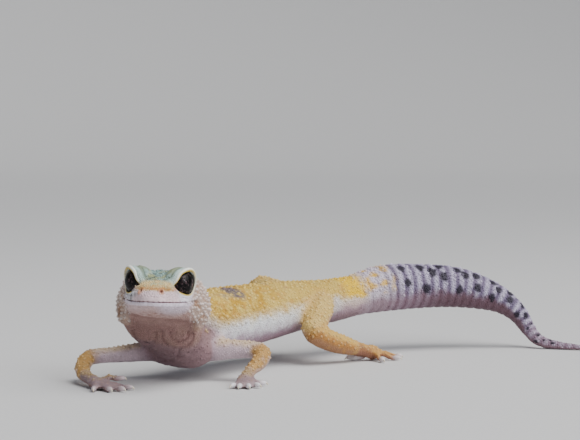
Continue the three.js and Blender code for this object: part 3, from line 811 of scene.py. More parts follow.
        # Painted shade: each ear's pit is painted dark brown.
        paint.wash(0.7 * ridge(np.linalg.norm(head_points - place, axis=1), 1.1), 0.45, 0.33, 0.32)
    for hand in (1, -1):
        streak, _ = open_curve([(hand * 4.6, 5.6, 4.3), (hand * 3.9, 4.4, 3.7), (hand * 3.1, 3.3, 3.2)], 30)
        _, off_streak = nearest_on(head_points, streak)
        paint.wash(0.6 * ridge(off_streak, 0.5), 0.50, 0.42, 0.26)
        under, _ = open_curve([(hand * 5.4, 5.6, 2.9), (hand * 6.9, 8.0, 2.0), (hand * 8.6, 11.6, 1.5)], 30)
        _, off_under = nearest_on(head_points, under)
        paint.wash(0.5 * ridge(off_under, 0.4), 0.58, 0.52, 0.44)
        # Painted shade: the crease running down from each mouth corner is painted dark brown.
        crease, _ = open_curve([(hand * x, y, z) for x, y, z in GAPE_CREASE], 60)
        index, off_crease = nearest_on(head_points, crease)
        paint.wash(0.8 * ridge(off_crease, 0.55) * (1 - smooth_step(44, 59, index)), 0.50, 0.40, 0.36)


paint = Paint(len(points), 0.73, 0.61, 0.66)
paint_trunk(paint)
paint_tail(paint)
paint_limbs(paint)
paint_head(paint)
# Painted shade: the underside of the neck and chest is painted darker brownish pink.
neck = share_of(shares, "neck", "chest") * (1 - head_share) * (np.degrees(np.abs(turn)) > 122) * (reach < 26)
paint.wash(0.6 * hide.relax(neck[:, None], 0.5, 6)[:, 0], 0.66, 0.56, 0.56)
# The underside of neck, chest and belly is painted dark mauve: partly its own colour, partly painted shade
# beneath the body.
under = smooth_step(110, 140, np.degrees(np.abs(turn)))
under *= share_of(hide.relax(shares, 0.5, 40), "neck", "chest", "belly") * (1 - head_share)
paint.wash(0.75 * under, 0.52, 0.41, 0.44)
paint.colours *= 1 + 0.05 * mottle(points, 0.6, 61)[:, None]

# ---- scales: laying out ----
# The hide is set all over with beads of scale, each a closed bump rooted in it, with larger cones of scale
# between them on the back, temples, limbs and tail rings. The roots are spread at even distances.
BAKE_PATCH = 0.0015
lid_gap = nearest_on(head_points, lid_line)[1]
inside_lids = (off_nearest(head_points, eye_middles) < 4.45) & (lid_gap > 0.25) & (head_share > 0.3)
base.calc_loop_triangles()
corners = np.empty(len(base.loop_triangles) * 3, int)
base.loop_triangles.foreach_get("vertices", corners)
corners = corners.reshape(-1, 3)
skin_points = np.empty(len(base.vertices) * 3)
base.vertices.foreach_get("co", skin_points)
skin_points = skin_points.reshape(-1, 3) / MM
skin_normals = normals_of(base)


class Roots:
    """Places on the hide, each held as a triangle and its shares of the three corners."""

    def __init__(self, triangle, share):
        self.triangle = triangle
        self.share = share

    def of(self, values):
        """A value held on the hide's points, read at the roots."""
        held = values[corners[self.triangle]]
        share = self.share if values.ndim == 1 else self.share[:, :, None]
        return (held * share).sum(1)

    def only(self, chosen):
        return Roots(self.triangle[chosen], self.share[chosen])


def lay_roots(gap, seed, taken=None, clearance=0.5):
    """Roots at the wanted gap from each other, none where it is zero, and clear of the places taken."""
    dice = np.random.default_rng(seed)
    one, two, three = (skin_points[corners[:, k]] for k in range(3))
    area = 0.5 * np.linalg.norm(np.cross(two - one, three - one), axis=1)
    wide = gap[corners].mean(1)
    weight = np.where(gap[corners].min(1) > 0, area / np.maximum(wide, 0.05) ** 2, 0)
    triangle = dice.choice(len(corners), int(4.5 * weight.sum()), p=weight / weight.sum())
    first = np.sqrt(dice.random(len(triangle)))
    second = dice.random(len(triangle))
    share = np.column_stack([1 - first, first * (1 - second), first * second])
    tried = Roots(triangle, share)
    places = tried.of(skin_points)
    apart = tried.of(gap)
    tree = kdtree.KDTree(len(places))
    for index, place in enumerate(places):
        tree.insert(place, index)
    tree.balance()
    free = np.ones(len(places), bool)
    if taken is not None:
        for place, reach_out in zip(taken, clearance):
            for _, index, _ in tree.find_range(place, reach_out):
                free[index] = False
    kept = []
    for index in range(len(places)):
        if free[index]:
            kept.append(index)
            for _, other, _ in tree.find_range(places[index], apart[index]):
                free[other] = False
    return tried.only(np.array(kept))


def limb_line(*names):
    middles = [sum(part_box(n), Vector()) / 2 / MM for n in names]
    return open_curve([2 * middles[0] - middles[1], *middles, 2 * middles[-1] - middles[-2]], 80)


LIMB_LINES = [
    limb_line(f"{upper}_{side}", f"{lower}_{side}", f"{end}_{side}")
    for upper, lower, end in (("arm_upper", "arm_fore", "hand"), ("thigh", "shin", "foot"))
    for side in ("left", "right")
]
limb_shares = np.column_stack([
    share_of(shares, f"{upper}_{side}", f"{lower}_{side}", f"{end}_{side}")
    for upper, lower, end in (("arm_upper", "arm_fore", "hand"), ("thigh", "shin", "foot"))
    for side in ("left", "right")
])


def tangents_near(places, line):
    index, _ = nearest_on(places, line)
    tangent = np.gradient(line, axis=0)[index]
    return tangent / np.linalg.norm(tangent, axis=1)[:, None]


# The way the scales point: back along the head, down the spine and out along each limb.
lie = tangents_near(skin_points, spine_points)
lie += (np.array(HEAD_TURN)[:, 1] - lie) * smooth_step(0.2, 0.8, head_share)[:, None]
for column, (line, _) in enumerate(LIMB_LINES):
    lie += (tangents_near(skin_points, line) - lie) * limb_shares[:, column:column + 1]


def chart(roots):
    """Each root's place on a flat unwrap of the hide: head, spine and four limbs, one above the other."""
    places = roots.of(skin_points)
    run, round_it = along_spine(places)
    unwrapped = np.column_stack([0.5 + 0.48 * round_it / np.pi, 0.25 + 0.43 * run / spine_run[-1]])
    in_head_frame = to_head(places)
    head_turn = np.arctan2(in_head_frame[:, 0], in_head_frame[:, 2] + 2)
    on_head = np.column_stack([0.5 + 0.48 * head_turn / np.pi, 0.02 + 0.0066 * (in_head_frame[:, 1] + 2)])
    unwrapped = np.where(roots.of(head_share)[:, None] > 0.5, on_head, unwrapped)
    for column, (line, line_run) in enumerate(LIMB_LINES):
        run, round_it = along_line(places, line, line_run)
        on_limb = np.column_stack([
            0.125 + 0.25 * column + 0.115 * round_it / np.pi,
            0.72 + 0.26 * run / line_run[-1],
        ])
        unwrapped = np.where(roots.of(limb_shares[:, column])[:, None] > 0.5, on_limb, unwrapped)
    return unwrapped


def scale_shape(sides, levels, drawn_in=0.0):
    """One scale, of unit half width and height, as a closed dome or blunt cone: its points and faces."""
    made = bmesh.new()
    bmesh.ops.create_uvsphere(made, u_segments=sides, v_segments=levels, radius=1)
    bmesh.ops.triangulate(made, faces=made.faces)
    bmesh.ops.recalc_face_normals(made, faces=made.faces)
    shape = np.array([v.co for v in made.verts])
    faces = np.array([[v.index for v in f.verts] for f in made.faces])
    made.free()
    shape[:, :2] *= 1 - drawn_in * np.maximum(shape[:, 2:], 0)
    shape[:, 2] = np.where(shape[:, 2] > 0, shape[:, 2], 0.5 * shape[:, 2])
    return shape, faces


BEAD = scale_shape(6, 2)
DOME = scale_shape(6, 3)
CONE = scale_shape(8, 4, 0.42)


def scale_material(name, roughness, relief):
    """Skin finish: the laid-on colours, a little uneven, with a dull sheen and a fine grain."""
    material, tree, shader = node_material(name)
    laid = tree.nodes.new("ShaderNodeAttribute")
    laid.attribute_name = "markings"
    coords = tree.nodes.new("ShaderNodeTexCoord")
    cloud = tree.nodes.new("ShaderNodeTexNoise")
    cloud.inputs["Scale"].default_value = 1100
    cloud.inputs["Detail"].default_value = 4
    tree.links.new(coords.outputs["Object"], cloud.inputs["Vector"])
    uneven = tree.nodes.new("ShaderNodeValToRGB")
    uneven.color_ramp.elements[0].position = 0.3
    uneven.color_ramp.elements[0].color = (0.80, 0.78, 0.77, 1)
    uneven.color_ramp.elements[1].position = 0.7
    uneven.color_ramp.elements[1].color = (1.0, 1.0, 1.0, 1)
    tree.links.new(cloud.outputs["Fac"], uneven.inputs["Fac"])
    toned = tree.nodes.new("ShaderNodeMix")
    toned.data_type = "RGBA"
    toned.blend_type = "MULTIPLY"
    toned.inputs["Factor"].default_value = 1.0
    tree.links.new(laid.outputs["Color"], toned.inputs["A"])
    tree.links.new(uneven.outputs["Color"], toned.inputs["B"])
    tree.links.new(toned.outputs["Result"], shader.inputs["Base Color"])
    dull = tree.nodes.new("ShaderNodeMapRange")
    dull.inputs["To Min"].default_value = roughness - 0.08
    dull.inputs["To Max"].default_value = roughness + 0.08
    tree.links.new(cloud.outputs["Fac"], dull.inputs["Value"])
    tree.links.new(dull.outputs["Result"], shader.inputs["Roughness"])
    cells = tree.nodes.new("ShaderNodeTexVoronoi")
    cells.inputs["Scale"].default_value = 3600
    tree.links.new(coords.outputs["Object"], cells.inputs["Vector"])
    bump = tree.nodes.new("ShaderNodeBump")
    bump.inputs["Strength"].default_value = relief
    bump.inputs["Distance"].default_value = 0.00006
    tree.links.new(cells.outputs["Distance"], bump.inputs["Height"])
    tree.links.new(bump.outputs["Normal"], shader.inputs["Normal"])
    shader.inputs["Specular IOR Level"].default_value = 0.35
    return material


hide_finish = scale_material("bare_hide", 0.58, 0.6)
scale_finish = scale_material("scale_horn", 0.52, 0.3)


def dress(mesh, colours):
    """Gives a mesh its laid-on colours."""
    layer = mesh.color_attributes.new("markings", "FLOAT_COLOR", "POINT")
    layer.data.foreach_set("color", np.column_stack([colours, np.ones(len(colours))]).ravel())


def set_scales(name, kind, places, facings, half, tall, tint, unwrapped, lean=0.0):
    """Sets scales of one kind in their places, as one joined piece; the facings are across, back and up."""
    shape, faces = kind
    side, back, up = facings
    count = len(places)
    across = shape[None, :, 0] * half[:, 0, None]
    high = shape[None, :, 2] * tall[:, None]
    along = shape[None, :, 1] * half[:, 1, None] + lean * np.maximum(high, 0)
    high = high - 0.12 * half[:, :1]
    placed = places[:, None] + across[:, :, None] * side[:, None]
    placed += along[:, :, None] * back[:, None] + high[:, :, None] * up[:, None]
    joined_faces = (faces[None] + np.arange(count)[:, None, None] * len(shape)).reshape(-1, 3)
    mesh = bpy.data.meshes.new(name)
    mesh.vertices.add(count * len(shape))
    mesh.vertices.foreach_set("co", (placed * MM).ravel())
    mesh.loops.add(joined_faces.size)
    mesh.loops.foreach_set("vertex_index", joined_faces.ravel())
    mesh.polygons.add(len(joined_faces))
    mesh.polygons.foreach_set("loop_start", np.arange(0, joined_faces.size, 3))
    mesh.update(calc_edges=True)
    mesh.polygons.foreach_set("use_smooth", np.ones(len(joined_faces), bool))
    tip = 1 + 0.10 * np.clip(shape[None, :, 2:3], -0.5, 1)
    dress(mesh, np.clip(tint[:, None] * tip, 0, 1).reshape(-1, 3))
    patch = unwrapped[:, None] + shape[None, :, :2] * BAKE_PATCH
    unwrap = mesh.uv_layers.new(name="OFBake")
    unwrap.data.foreach_set("uv", patch.reshape(-1, 2)[joined_faces.ravel()].ravel())
    mesh.materials.append(scale_finish)
    piece = new_object(name, mesh)
    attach(piece, "root")


def unit(vectors):
    return vectors / np.maximum(np.linalg.norm(vectors, axis=1), 1e-9)[:, None]


def scatter(name, kind, roots, half, tall, tint, lean=0.0, stretch=1.0):
    """Sets one kind of scale on the roots, pointing the way the scales lie."""
    if len(roots.triangle) == 0:
        return
    up = unit(roots.of(skin_normals))
    back = roots.of(lie)
    back = unit(back - up * (back * up).sum(1)[:, None])
    facings = (np.cross(back, up), back, up)
    sizes = np.column_stack([half, half * stretch])
    set_scales(name, kind, roots.of(skin_points), facings, sizes, tall, tint, chart(roots), lean)


REGIONS = {
    "head": ("head_skin", share_of(shares, "head", "lower_jaw")),
    "trunk": ("body_skin", share_of(shares, "neck", "chest", "belly")),
    "tail": ("tail_skin", share_of(shares, "tail")),
    "limbs": ("limb_skin", share_of(shares, "arm", "thigh", "shin")),
    "digits": ("toe_skin", share_of(shares, "hand", "foot")),
}


def region_of(roots):
    at_roots = [roots.of(region_share) for _, region_share in REGIONS.values()]
    return np.argmax(np.column_stack(at_roots), axis=1)


dress(base, paint.colours)
base.materials.append(hide_finish)
hide_piece = new_object("hide", base)
for polygon in base.polygons:
    polygon.use_smooth = True
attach(hide_piece, "root")
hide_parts(*FLESH)

# ---- scales: lip plates ----
# A row of smooth oblong plates edges each lip, largest at the front and smaller towards the mouth's corners.
PLATE_WIDE = 1.3
PLATE_TAPER = 0.03
hide_facets = [tuple(facet.vertices) for facet in base.polygons]
hide_tree = BVHTree.FromPolygons([Vector(p) for p in skin_points], hide_facets)
face_tree = kdtree.KDTree(len(corners))
for index, middle in enumerate(skin_points[corners].mean(1)):
    face_tree.insert(middle, index)
face_tree.balance()
plate_shape, plate_faces = scale_shape(12, 8)
plate_shape = np.sign(plate_shape) * np.abs(plate_shape) ** np.array((0.75, 0.75, 0.55))


def lip_line(above):
    """A lip's line on the hide in the head's frame, from one mouth corner round the snout to the other."""
    found = []
    for swing in np.linspace(-2.05, 2.05, 400):
        heading = np.array(HEAD_TURN) @ np.array((math.sin(swing), -math.cos(swing), 0))
        place, _, _, _ = hide_tree.ray_cast(Vector(from_head((0, 8.0, 0.2 + above))), Vector(heading), 20)
        if place is not None:
            found.append(to_head(np.array(place)))
    line = np.array(found)
    line[:, 2] = mouth_height(line[:, 1]) + above
    return line, np.concatenate([[0], np.cumsum(np.linalg.norm(np.diff(line, axis=0), axis=1))])


def lip_plates(name, above, deep):
    line, run = lip_line(above)
    half_way = run[np.argmin(np.abs(line[:, 0]))]
    stops = [0.0]
    while stops[-1] < 17:
        stops.append(stops[-1] + PLATE_WIDE - PLATE_TAPER * stops[-1])
    stops = np.array(stops)
    wide = np.concatenate([(PLATE_WIDE - PLATE_TAPER * stops)[:0:-1], PLATE_WIDE - PLATE_TAPER * stops])
    stops = np.concatenate([-stops[:0:-1], stops]) + half_way
    middles = np.column_stack([np.interp(stops, run, line[:, axis]) for axis in range(3)])
    behind = np.column_stack([np.interp(stops + 0.3, run, line[:, axis]) for axis in range(3)])
    kept = middles[:, 1] < MOUTH_CORNER - 0.8
    middles, behind, wide = middles[kept], behind[kept], wide[kept]
    triangle = np.array([face_tree.find(p)[1] for p in from_head(middles)])
    rooted = Roots(triangle, np.full((len(triangle), 3), 1 / 3))
    up = unit(rooted.of(skin_normals))
    side = from_head(behind) - from_head(middles)
    side = unit(side - up * (side * up).sum(1)[:, None])
    facings = (side, np.cross(up, side), up)
    sizes = np.column_stack([wide * 0.58, np.full(len(wide), deep)])
    tint = rooted.of(paint.colours) * np.random.default_rng(7).uniform(0.97, 1.03, len(wide))[:, None]
    places = rooted.of(skin_points)
    set_scales(name, (plate_shape, plate_faces), places, facings, sizes,
               np.full(len(wide), 0.13), tint, chart(rooted))
    return places, wide


upper_places, upper_wide = lip_plates("plates_upper_lip", 0.66, 0.58)
lower_places, lower_wide = lip_plates("plates_lower_lip", -0.62, 0.52)
plate_places = np.vstack([upper_places, lower_places])
plate_reach = np.concatenate([upper_wide, lower_wide]) * 0.5

# ---- scales: cones ----
# Blunt cones of scale stand out between the beads: in loose rows on the back and flanks, crowded on the
# temples, on the outer sides of the limbs, and one row to each ring of the tail.
degrees = np.degrees(np.abs(turn))
upward = skin_normals[:, 2]
side, back, high = np.abs(head_points[:, 0]), head_points[:, 1], head_points[:, 2]


gape_lines = [open_curve([(hand * x, y, z) for x, y, z in GAPE_CREASE], 60)[0] for hand in (1, -1)]
off_gape = nearest_on(head_points, np.vstack(gape_lines))[1]


def cone_gaps():
    """The wanted gap between cones over the hide, zero where there are none."""
    gap = np.zeros(len(points))
    region = {name: region_share for name, (_, region_share) in REGIONS.items()}
    gap[(region["trunk"] > 0.5) & (degrees < 92 + 8 * mottle(points, 2, 71))] = 1.55
    gap[(region["trunk"] > 0.5) & (reach < 14) & (degrees < 118)] = 1.2
    gap[(region["limbs"] > 0.5) & (upward > -0.35)] = 1.15
    gap[(region["digits"] > 0.5) & (upward > 0) & (points[:, 2] > 2.6)] = 1.0
    gap[(share_of(shares, "arm_upper") > 0.5) & (upward < 0.45)] = 0
    gap[(share_of(shares, "thigh") > 0.5) & (upward > -0.2)] = 1.45
    in_row = np.abs(ring_phase(reach) - 0.62) < 0.16
    thin = np.interp(reach, (90, 130, 160), (1.35, 1.25, 0.8))
    gap[(region["tail"] > 0.5) & (reach < 94) & (degrees < 82)] = 1.3
    tail = (region["tail"] > 0.5) & (reach > 94)
    gap = np.where(tail, np.where(in_row & (degrees < 112), thin, 0), gap)
    temple = (region["head"] > 0.5) & (side > 7.4) & (back > 10.5) & (high > -5.5)
    temple |= (region["head"] > 0.5) & (back > 19.5) & (high > -5.5)
    gap[(region["head"] > 0.5) & (back > 8.0) & (high > 5.0) & (lid_gap > 2.0)] = 0.84
    gap[(region["head"] > 0.5) & (back > 6.0) & (high > 6.6) & (lid_gap > 2.4)] = 1.05
    gap[(region["head"] > 0.5) & (back > 17) & (high > 2) & (side < 7.4)] = 1.15
    gap[temple] = 0.98
    gap[off_gape < 0.6] = 0
    gap[(off_nearest(head_points, EARS) < 1.9) | inside_lids | (lid_gap < 0.8)] = 0
    return gap


def side_of(roots):
    return roots.of(np.abs(head_points[:, 0]))


cone_gap = cone_gaps()
cone_roots = lay_roots(cone_gap, 11, plate_places, plate_reach)
cone_wide = cone_roots.of(cone_gap) * 0.41
cone_places = cone_roots.of(skin_points)
cone_dice = np.random.default_rng(12)
cone_tint = cone_roots.of(paint.colours)
cone_region = region_of(cone_roots)
for number, (region_name, (slot_name, _)) in enumerate(REGIONS.items()):
    here = cone_region == number
    chosen = cone_roots.only(here)
    wide = cone_wide[here] * cone_dice.uniform(0.85, 1.12, here.sum())
    tint = cone_tint[here] * cone_dice.uniform(0.86, 1.08, here.sum())[:, None]
    if region_name == "head":
        whitened = 0.62 * smooth_step(6.5, 8.5, side_of(chosen)) * cone_dice.uniform(0.4, 1.0, here.sum())
        tint = tint + whitened[:, None] * (np.array(linear(0.92, 0.89, 0.88)) - tint)
        wide = wide * (1 + 0.22 * whitened / 0.62)
        tall = wide * (0.85 + 0.50 * whitened / 0.62)
    elif region_name == "tail":
        tall = wide * 0.95
        pale = (tint.mean(1) > 0.25)[:, None]
        tint = np.where(pale, tint * 0.7 + 0.3 * np.array(linear(0.88, 0.86, 0.92)), tint * 0.9)
    else:
        golden = (tint[:, 0] > 1.6 * tint[:, 2])[:, None]
        share, cream = (0.32, (0.93, 0.82, 0.50)) if region_name == "trunk" else (0.20, (0.91, 0.84, 0.66))
        tint = np.where(golden, tint * (1 - share) + share * np.array(linear(*cream)), tint * 1.04)
        tall = wide * 0.78
    scatter("cones_" + region_name, CONE, chosen, wide, tall, tint, lean=0.35)

# ---- scales: beads ----
# Small rounded beads fill all the rest, finest on the lids and digits, flatter and broader on the belly.
def bead_gaps():
    gap = np.full(len(points), 0.52)
    gap += 0.10 * share_of(shares, "neck", "chest", "belly") * smooth_step(100, 125, degrees)
    gap += 0.06 * share_of(shares, "tail")
    gap -= 0.05 * share_of(shares, "arm", "thigh", "shin")
    gap -= 0.09 * share_of(shares, "hand", "foot")
    gap -= 0.07 * head_share
    gap -= 0.05 * head_share * smooth_step(6, 10, back) * (high > 3)
    gap = np.where(lid_gap < 1.9, 0.36, gap)
    gap[inside_lids | (lid_gap < 0.42)] = 0
    gap[(off_nearest(head_points, NOSTRILS) < 0.42) | (off_nearest(head_points, EARS) < 0.75)] = 0
    closed = (head_share > 0.3) & (np.abs(high - mouth_height(back)) < 0.14) & (back < MOUTH_CORNER + 0.3)
    gap[closed] = 0
    return gap


bead_gap = bead_gaps()
taken = np.vstack([cone_places, plate_places])
clearance = np.concatenate([cone_wide * 1.0, plate_reach])
bead_roots = lay_roots(bead_gap, 13, taken, clearance)
bead_region = region_of(bead_roots)
bead_dice = np.random.default_rng(14)
bead_tint = bead_roots.of(paint.colours)
bead_wide = bead_roots.of(bead_gap) * 0.64
flat = bead_roots.of(smooth_step(95, 120, degrees) * (1 - head_share))
for number, (region_name, (slot_name, _)) in enumerate(REGIONS.items()):
    here = bead_region == number
    chosen = bead_roots.only(here)
    wide = bead_wide[here] * bead_dice.uniform(0.90, 1.12, here.sum())
    tint = bead_tint[here] * bead_dice.uniform(0.88, 1.08, here.sum())[:, None]
    tall = wide * (0.58 - 0.26 * flat[here])
    kind = DOME if region_name in ("head", "digits") else BEAD
    scatter("beads_" + region_name, kind, chosen, wide, tall, tint, lean=0.2)

# ---- eyes ----
# Each eye is a clear-fronted ball, nearly black, with a fine violet and brown net in the iris and an upright
# slit for a pupil. It is turned from glassy resin and set into its socket from inside the head.
def eye_material():
    material, tree, shader = node_material("wet_eye")
    gaze = tree.nodes.new("ShaderNodeAttribute")
    gaze.attribute_name = "gaze"
    net = tree.nodes.new("ShaderNodeTexVoronoi")
    net.feature = "DISTANCE_TO_EDGE"
    net.inputs["Scale"].default_value = 5.2
    bend = tree.nodes.new("ShaderNodeTexNoise")
    bend.inputs["Scale"].default_value = 5
    bend.inputs["Detail"].default_value = 3
    mixed = tree.nodes.new("ShaderNodeMix")
    mixed.data_type = "RGBA"
    mixed.blend_type = "LINEAR_LIGHT"
    mixed.inputs["Factor"].default_value = 0.16
    tree.links.new(gaze.outputs["Vector"], bend.inputs["Vector"])
    tree.links.new(gaze.outputs["Vector"], mixed.inputs["A"])
    tree.links.new(bend.outputs["Color"], mixed.inputs["B"])
    tree.links.new(mixed.outputs["Result"], net.inputs["Vector"])
    veins = tree.nodes.new("ShaderNodeValToRGB")
    ramp = veins.color_ramp
    ramp.elements[0].position = 0.0
    ramp.elements[0].color = (*linear(0.52, 0.42, 0.44), 1)
    ramp.elements[1].position = 0.07
    ramp.elements[1].color = (*linear(0.03, 0.02, 0.025), 1)
    breaks = tree.nodes.new("ShaderNodeMapRange")
    breaks.inputs["From Min"].default_value = 0.42
    breaks.inputs["From Max"].default_value = 0.62
    breaks.inputs["To Max"].default_value = 0.09
    tree.links.new(bend.outputs["Fac"], breaks.inputs["Value"])
    broken = tree.nodes.new("ShaderNodeMath")
    tree.links.new(net.outputs["Distance"], broken.inputs[0])
    tree.links.new(breaks.outputs["Result"], broken.inputs[1])
    tree.links.new(broken.outputs[0], veins.inputs["Fac"])
    split = tree.nodes.new("ShaderNodeSeparateXYZ")
    tree.links.new(gaze.outputs["Vector"], split.inputs["Vector"])
    aside = tree.nodes.new("ShaderNodeMath")
    aside.operation = "ABSOLUTE"
    tree.links.new(split.outputs["X"], aside.inputs[0])
    tall = tree.nodes.new("ShaderNodeMath")
    tall.operation = "POWER"
    tall.inputs[1].default_value = 2
    tree.links.new(split.outputs["Y"], tall.inputs[0])
    slim = tree.nodes.new("ShaderNodeMath")
    slim.operation = "MULTIPLY_ADD"
    slim.inputs[1].default_value = 0.30
    tree.links.new(tall.outputs[0], slim.inputs[0])
    tree.links.new(aside.outputs[0], slim.inputs[2])
    pupil = tree.nodes.new("ShaderNodeMapRange")
    pupil.inputs["From Min"].default_value = 0.10
    pupil.inputs["From Max"].default_value = 0.15
    tree.links.new(slim.outputs[0], pupil.inputs["Value"])
    deep = tree.nodes.new("ShaderNodeMix")
    deep.data_type = "RGBA"
    deep.inputs["A"].default_value = (*linear(0.02, 0.015, 0.02), 1)
    tree.links.new(pupil.outputs["Result"], deep.inputs["Factor"])
    tree.links.new(veins.outputs["Color"], deep.inputs["B"])
    tree.links.new(deep.outputs["Result"], shader.inputs["Base Color"])
    shader.inputs["Roughness"].default_value = 0.35
    shader.inputs["Specular IOR Level"].default_value = 0.08
    shader.inputs["Coat Weight"].default_value = 0.12
    shader.inputs["Coat Roughness"].default_value = 0.03
    return material


eye_finish = eye_material()
EYE_GAP = 0.02


def shaded_piece(name, made, material):
    """Turns finished bmesh geometry into a smooth piece of the animal."""
    data = bpy.data.meshes.new(name)
    made.to_mesh(data)
    made.free()
    for polygon in data.polygons:
        polygon.use_smooth = True
    data.materials.append(material)
    piece = new_object(name, data)
    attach(piece, "root")
    return piece


def eyeball(hand):
    node = "eye_left" if hand > 0 else "eye_right"
    low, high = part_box(node)
    radius = (high.x - low.x) / 2 - EYE_GAP * MM
    _, axis, ahead, above = eye_frame(hand)
    ball = bmesh.new()
    bmesh.ops.create_uvsphere(ball, u_segments=64, v_segments=48, radius=1)
    gaze = ball.verts.layers.float_vector.new("gaze")
    turn_to = np.array(HEAD_TURN) @ np.column_stack([ahead, above, axis])
    for v in ball.verts:
        v[gaze] = v.co
        bulge = 1 + 0.045 * max(0.0, (v.co.z - 0.72) / 0.28) ** 1.5
        v.co = (low + high) / 2 + Vector(turn_to @ np.array(v.co)) * radius * bulge
    bmesh.ops.recalc_face_normals(ball, faces=ball.faces)
    piece = shaded_piece("eyeball_" + node[4:], ball, eye_finish)
    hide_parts(node)


eyeball(1)
eyeball(-1)

# ---- eyelid rims ----
# The lids end in a thick pale rim of very small scales, cream with a yellow edge, that lies on the eye.
RIM_STATIONS = (0, 0.12, 0.33, 0.47, 0.60, 0.72, 0.85, 1)
RIM_RADII = (0.34, 0.44, 0.52, 0.40, 0.20, 0.27, 0.37, 0.34)
RIM_SCALES = 54


def rim_material():
    material, tree, shader = node_material("lid_rim")
    paint = tree.nodes.new("ShaderNodeAttribute")
    paint.attribute_name = "markings"
    tree.links.new(paint.outputs["Color"], shader.inputs["Base Color"])
    shader.inputs["Roughness"].default_value = 0.45
    return material


rim_finish = rim_material()


def lid_rim(hand):
    centre, _, _, _ = eye_frame(hand)
    curve = lid_curve(hand, 270)
    inward = centre - curve
    inward /= np.linalg.norm(inward, axis=1)[:, None]
    curve = curve + inward * 0.07
    middle = curve.mean(0)
    tangent = np.roll(curve, -1, axis=0) - np.roll(curve, 1, axis=0)
    tangent /= np.linalg.norm(tangent, axis=1)[:, None]
    rim = bmesh.new()
    paint = rim.verts.layers.float_color.new("markings")
    edges = []
    for step, point in enumerate(curve):
        bead = abs(math.sin(math.pi * RIM_SCALES * step / len(curve)))
        radius = np.interp(step / len(curve), RIM_STATIONS, RIM_RADII) * (0.92 + 0.10 * bead)
        outward = Vector(-inward[step])
        along = Vector(tangent[step])
        across = outward.cross(along).normalized()
        outward = along.cross(across)
        turn_to = Matrix((across, outward, along)).transposed()
        inner = math.copysign(1, across.dot(Vector(middle - point)))
        ring = bmesh.ops.create_circle(rim, segments=12, radius=1)
        for v in ring["verts"]:
            local = Vector((v.co.x * radius * 1.05, v.co.y * radius, 0))
            edge = smooth_step(0.42, 0.92, inner * v.co.x)
            edge *= 1 - 0.8 * ridge(step / len(curve) - 0.57, 0.13)
            shade = np.array(linear(0.93, 0.94, 0.90)) * (1 - edge)
            shade = shade + np.array(linear(0.80, 0.68, 0.28)) * edge
            v[paint] = (*shade, 1)
            v.co = Vector(from_head(np.array(Vector(point) + turn_to @ local))) * MM
        edges += list({e for v in ring["verts"] for e in v.link_edges})
    bmesh.ops.bridge_loops(rim, edges=edges, use_cyclic=True)
    bmesh.ops.recalc_face_normals(rim, faces=rim.faces)
    return shaded_piece("lid_rim_left" if hand > 0 else "lid_rim_right", rim, rim_finish)


lid_rim(1)
lid_rim(-1)

# ---- toe tips ----
# Each digit ends in a swollen pale tip wrapped in narrow bands of scale, from which the claw grows.
TIP_RADIUS = 0.66
TIP_HALF_LENGTH = 1.5
TIP_BANDS = 5
LONG_TIP = "claw_foot_left_1"
# Painted shade: the right hand's tips are painted greyer than the left hand's.
TIP_SHADES = {"hand_left": (0.92, 0.91, 0.93), "hand_right": (0.81, 0.75, 0.77)}


def claw_root(node):
    """Where a claw leaves its digit, the level way it points, and how far the solid claw reaches."""
    low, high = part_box(node[5:-2])
    foot = (low + high) / 2
    solid = [v.co.copy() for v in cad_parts[node].data.vertices]
    near = min(solid, key=lambda p: (p - foot).length)
    far = max(solid, key=lambda p: (p - foot).xy.length)
    ahead = Vector(((far - near).x, (far - near).y, 0)).normalized()
    ring = [p for p in solid if (p - near).dot(ahead) < 0.3 * MM]
    return sum(ring, Vector()) / len(ring), ahead, far


def toe_tips(foot_name):
    joined = bmesh.new()
    paint_layer = joined.verts.layers.float_color.new("markings")
    # The tips start from the hands' dark pinkish grey, which is partly painted shade.
    skin_shade = np.array(linear(0.66, 0.55, 0.55))
    tip_shade = np.array(linear(*TIP_SHADES.get(foot_name, (0.90, 0.87, 0.88))))
    for node in sorted(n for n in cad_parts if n.startswith("claw_" + foot_name)):
        root, ahead, _ = claw_root(node)
        across = Vector((0, 0, 1)).cross(ahead)
        thick = TIP_RADIUS * (1.65 if node == LONG_TIP else 1)
        half_length = TIP_HALF_LENGTH * (1.9 if node == LONG_TIP else 1)
        middle = root + ahead * (0.5 - half_length) * MM
        middle.z = max(middle.z, (thick * 0.9 + 0.06) * MM)
        ball = bmesh.ops.create_uvsphere(joined, u_segments=16, v_segments=14, radius=1)
        for v in ball["verts"]:
            at = v.co.z
            radius = thick * (1 + 0.05 * math.cos(TIP_BANDS * math.pi * at)) * (1 + 0.12 * at)
            lift = v.co.y * radius * (0.9 if v.co.y < 0 else 1.0)
            whole_from = 0.1 if node == LONG_TIP else 0.7
            shade = skin_shade + (tip_shade - skin_shade) * smooth_step(-0.9, whole_from, at)
            v[paint_layer] = (*shade, 1)
            v.co = middle + (ahead * at * half_length + across * v.co.x * radius) * MM
            v.co.z += lift * MM
    bmesh.ops.recalc_face_normals(joined, faces=joined.faces)
    shaded_piece("toe_tips_" + foot_name, joined, scale_finish)


for foot_name in ("hand_left", "hand_right", "foot_left", "foot_right"):
    toe_tips(foot_name)

# ---- claws ----
# Each digit ends in a short hooked claw of translucent horn, round in section and sharp, set into the flesh.
CLAW_SIDES = 10
CLAW_RINGS = 8


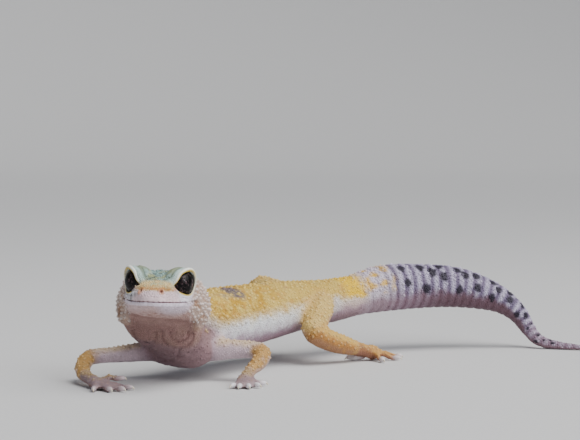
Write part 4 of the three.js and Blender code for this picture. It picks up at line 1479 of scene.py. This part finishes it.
def claw_material():
    material, tree, shader = node_material("horn")
    coords = tree.nodes.new("ShaderNodeTexCoord")
    growth = tree.nodes.new("ShaderNodeTexNoise")
    growth.inputs["Scale"].default_value = 2500
    shade = tree.nodes.new("ShaderNodeValToRGB")
    shade.color_ramp.elements[0].color = (*linear(0.80, 0.74, 0.64), 1)
    shade.color_ramp.elements[1].color = (*linear(0.93, 0.90, 0.84), 1)
    tree.links.new(coords.outputs["Object"], growth.inputs["Vector"])
    tree.links.new(growth.outputs["Fac"], shade.inputs["Fac"])
    tree.links.new(shade.outputs["Color"], shader.inputs["Base Color"])
    shader.inputs["Roughness"].default_value = 0.3
    shader.inputs["Subsurface Weight"].default_value = 0.3
    shader.inputs["Subsurface Radius"].default_value = (0.0006, 0.0005, 0.0004)
    return material


claw_finish = claw_material()


def claw(node):
    """A hook that leaves the digit's end going forward and curls down to a point just above the floor."""
    root, ahead, far = claw_root(node)
    length = (far - root).dot(ahead) * 0.72 + 0.35 * MM
    floor_gap = 0.06 * MM
    start = root - ahead * 0.3 * MM + Vector((0, 0, 0.12 * MM))
    drop = start.z - max(floor_gap, far.z - 0.35 * MM)
    side = Vector((0, 0, 1)).cross(ahead)
    hook = bmesh.new()
    edges = []
    for ring in range(CLAW_RINGS):
        t = ring / (CLAW_RINGS - 1)
        centre = start + ahead * length * math.sin(t * 1.35) / math.sin(1.35)
        centre.z -= drop * (0.15 * t + 0.85 * t**2.4)
        radius = 0.40 * MM * (1 - t) ** 0.75 + 0.02 * MM
        lean = t * 1.1
        up = Vector((0, 0, 1)) * math.cos(lean) + ahead * math.sin(lean)
        circle = bmesh.ops.create_circle(hook, segments=CLAW_SIDES, radius=1)
        for v in circle["verts"]:
            v.co = centre + side * v.co.x * radius * 0.85 + up * v.co.y * radius
        edges += list({e for v in circle["verts"] for e in v.link_edges})
    bmesh.ops.bridge_loops(hook, edges=edges)
    bmesh.ops.holes_fill(hook, edges=[e for e in hook.edges if e.is_boundary])
    bmesh.ops.recalc_face_normals(hook, faces=hook.faces)
    piece = shaded_piece("horn_" + node, hook, claw_finish)
    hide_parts(node)


for node in sorted(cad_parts):
    if node.startswith("claw"):
        claw(node)
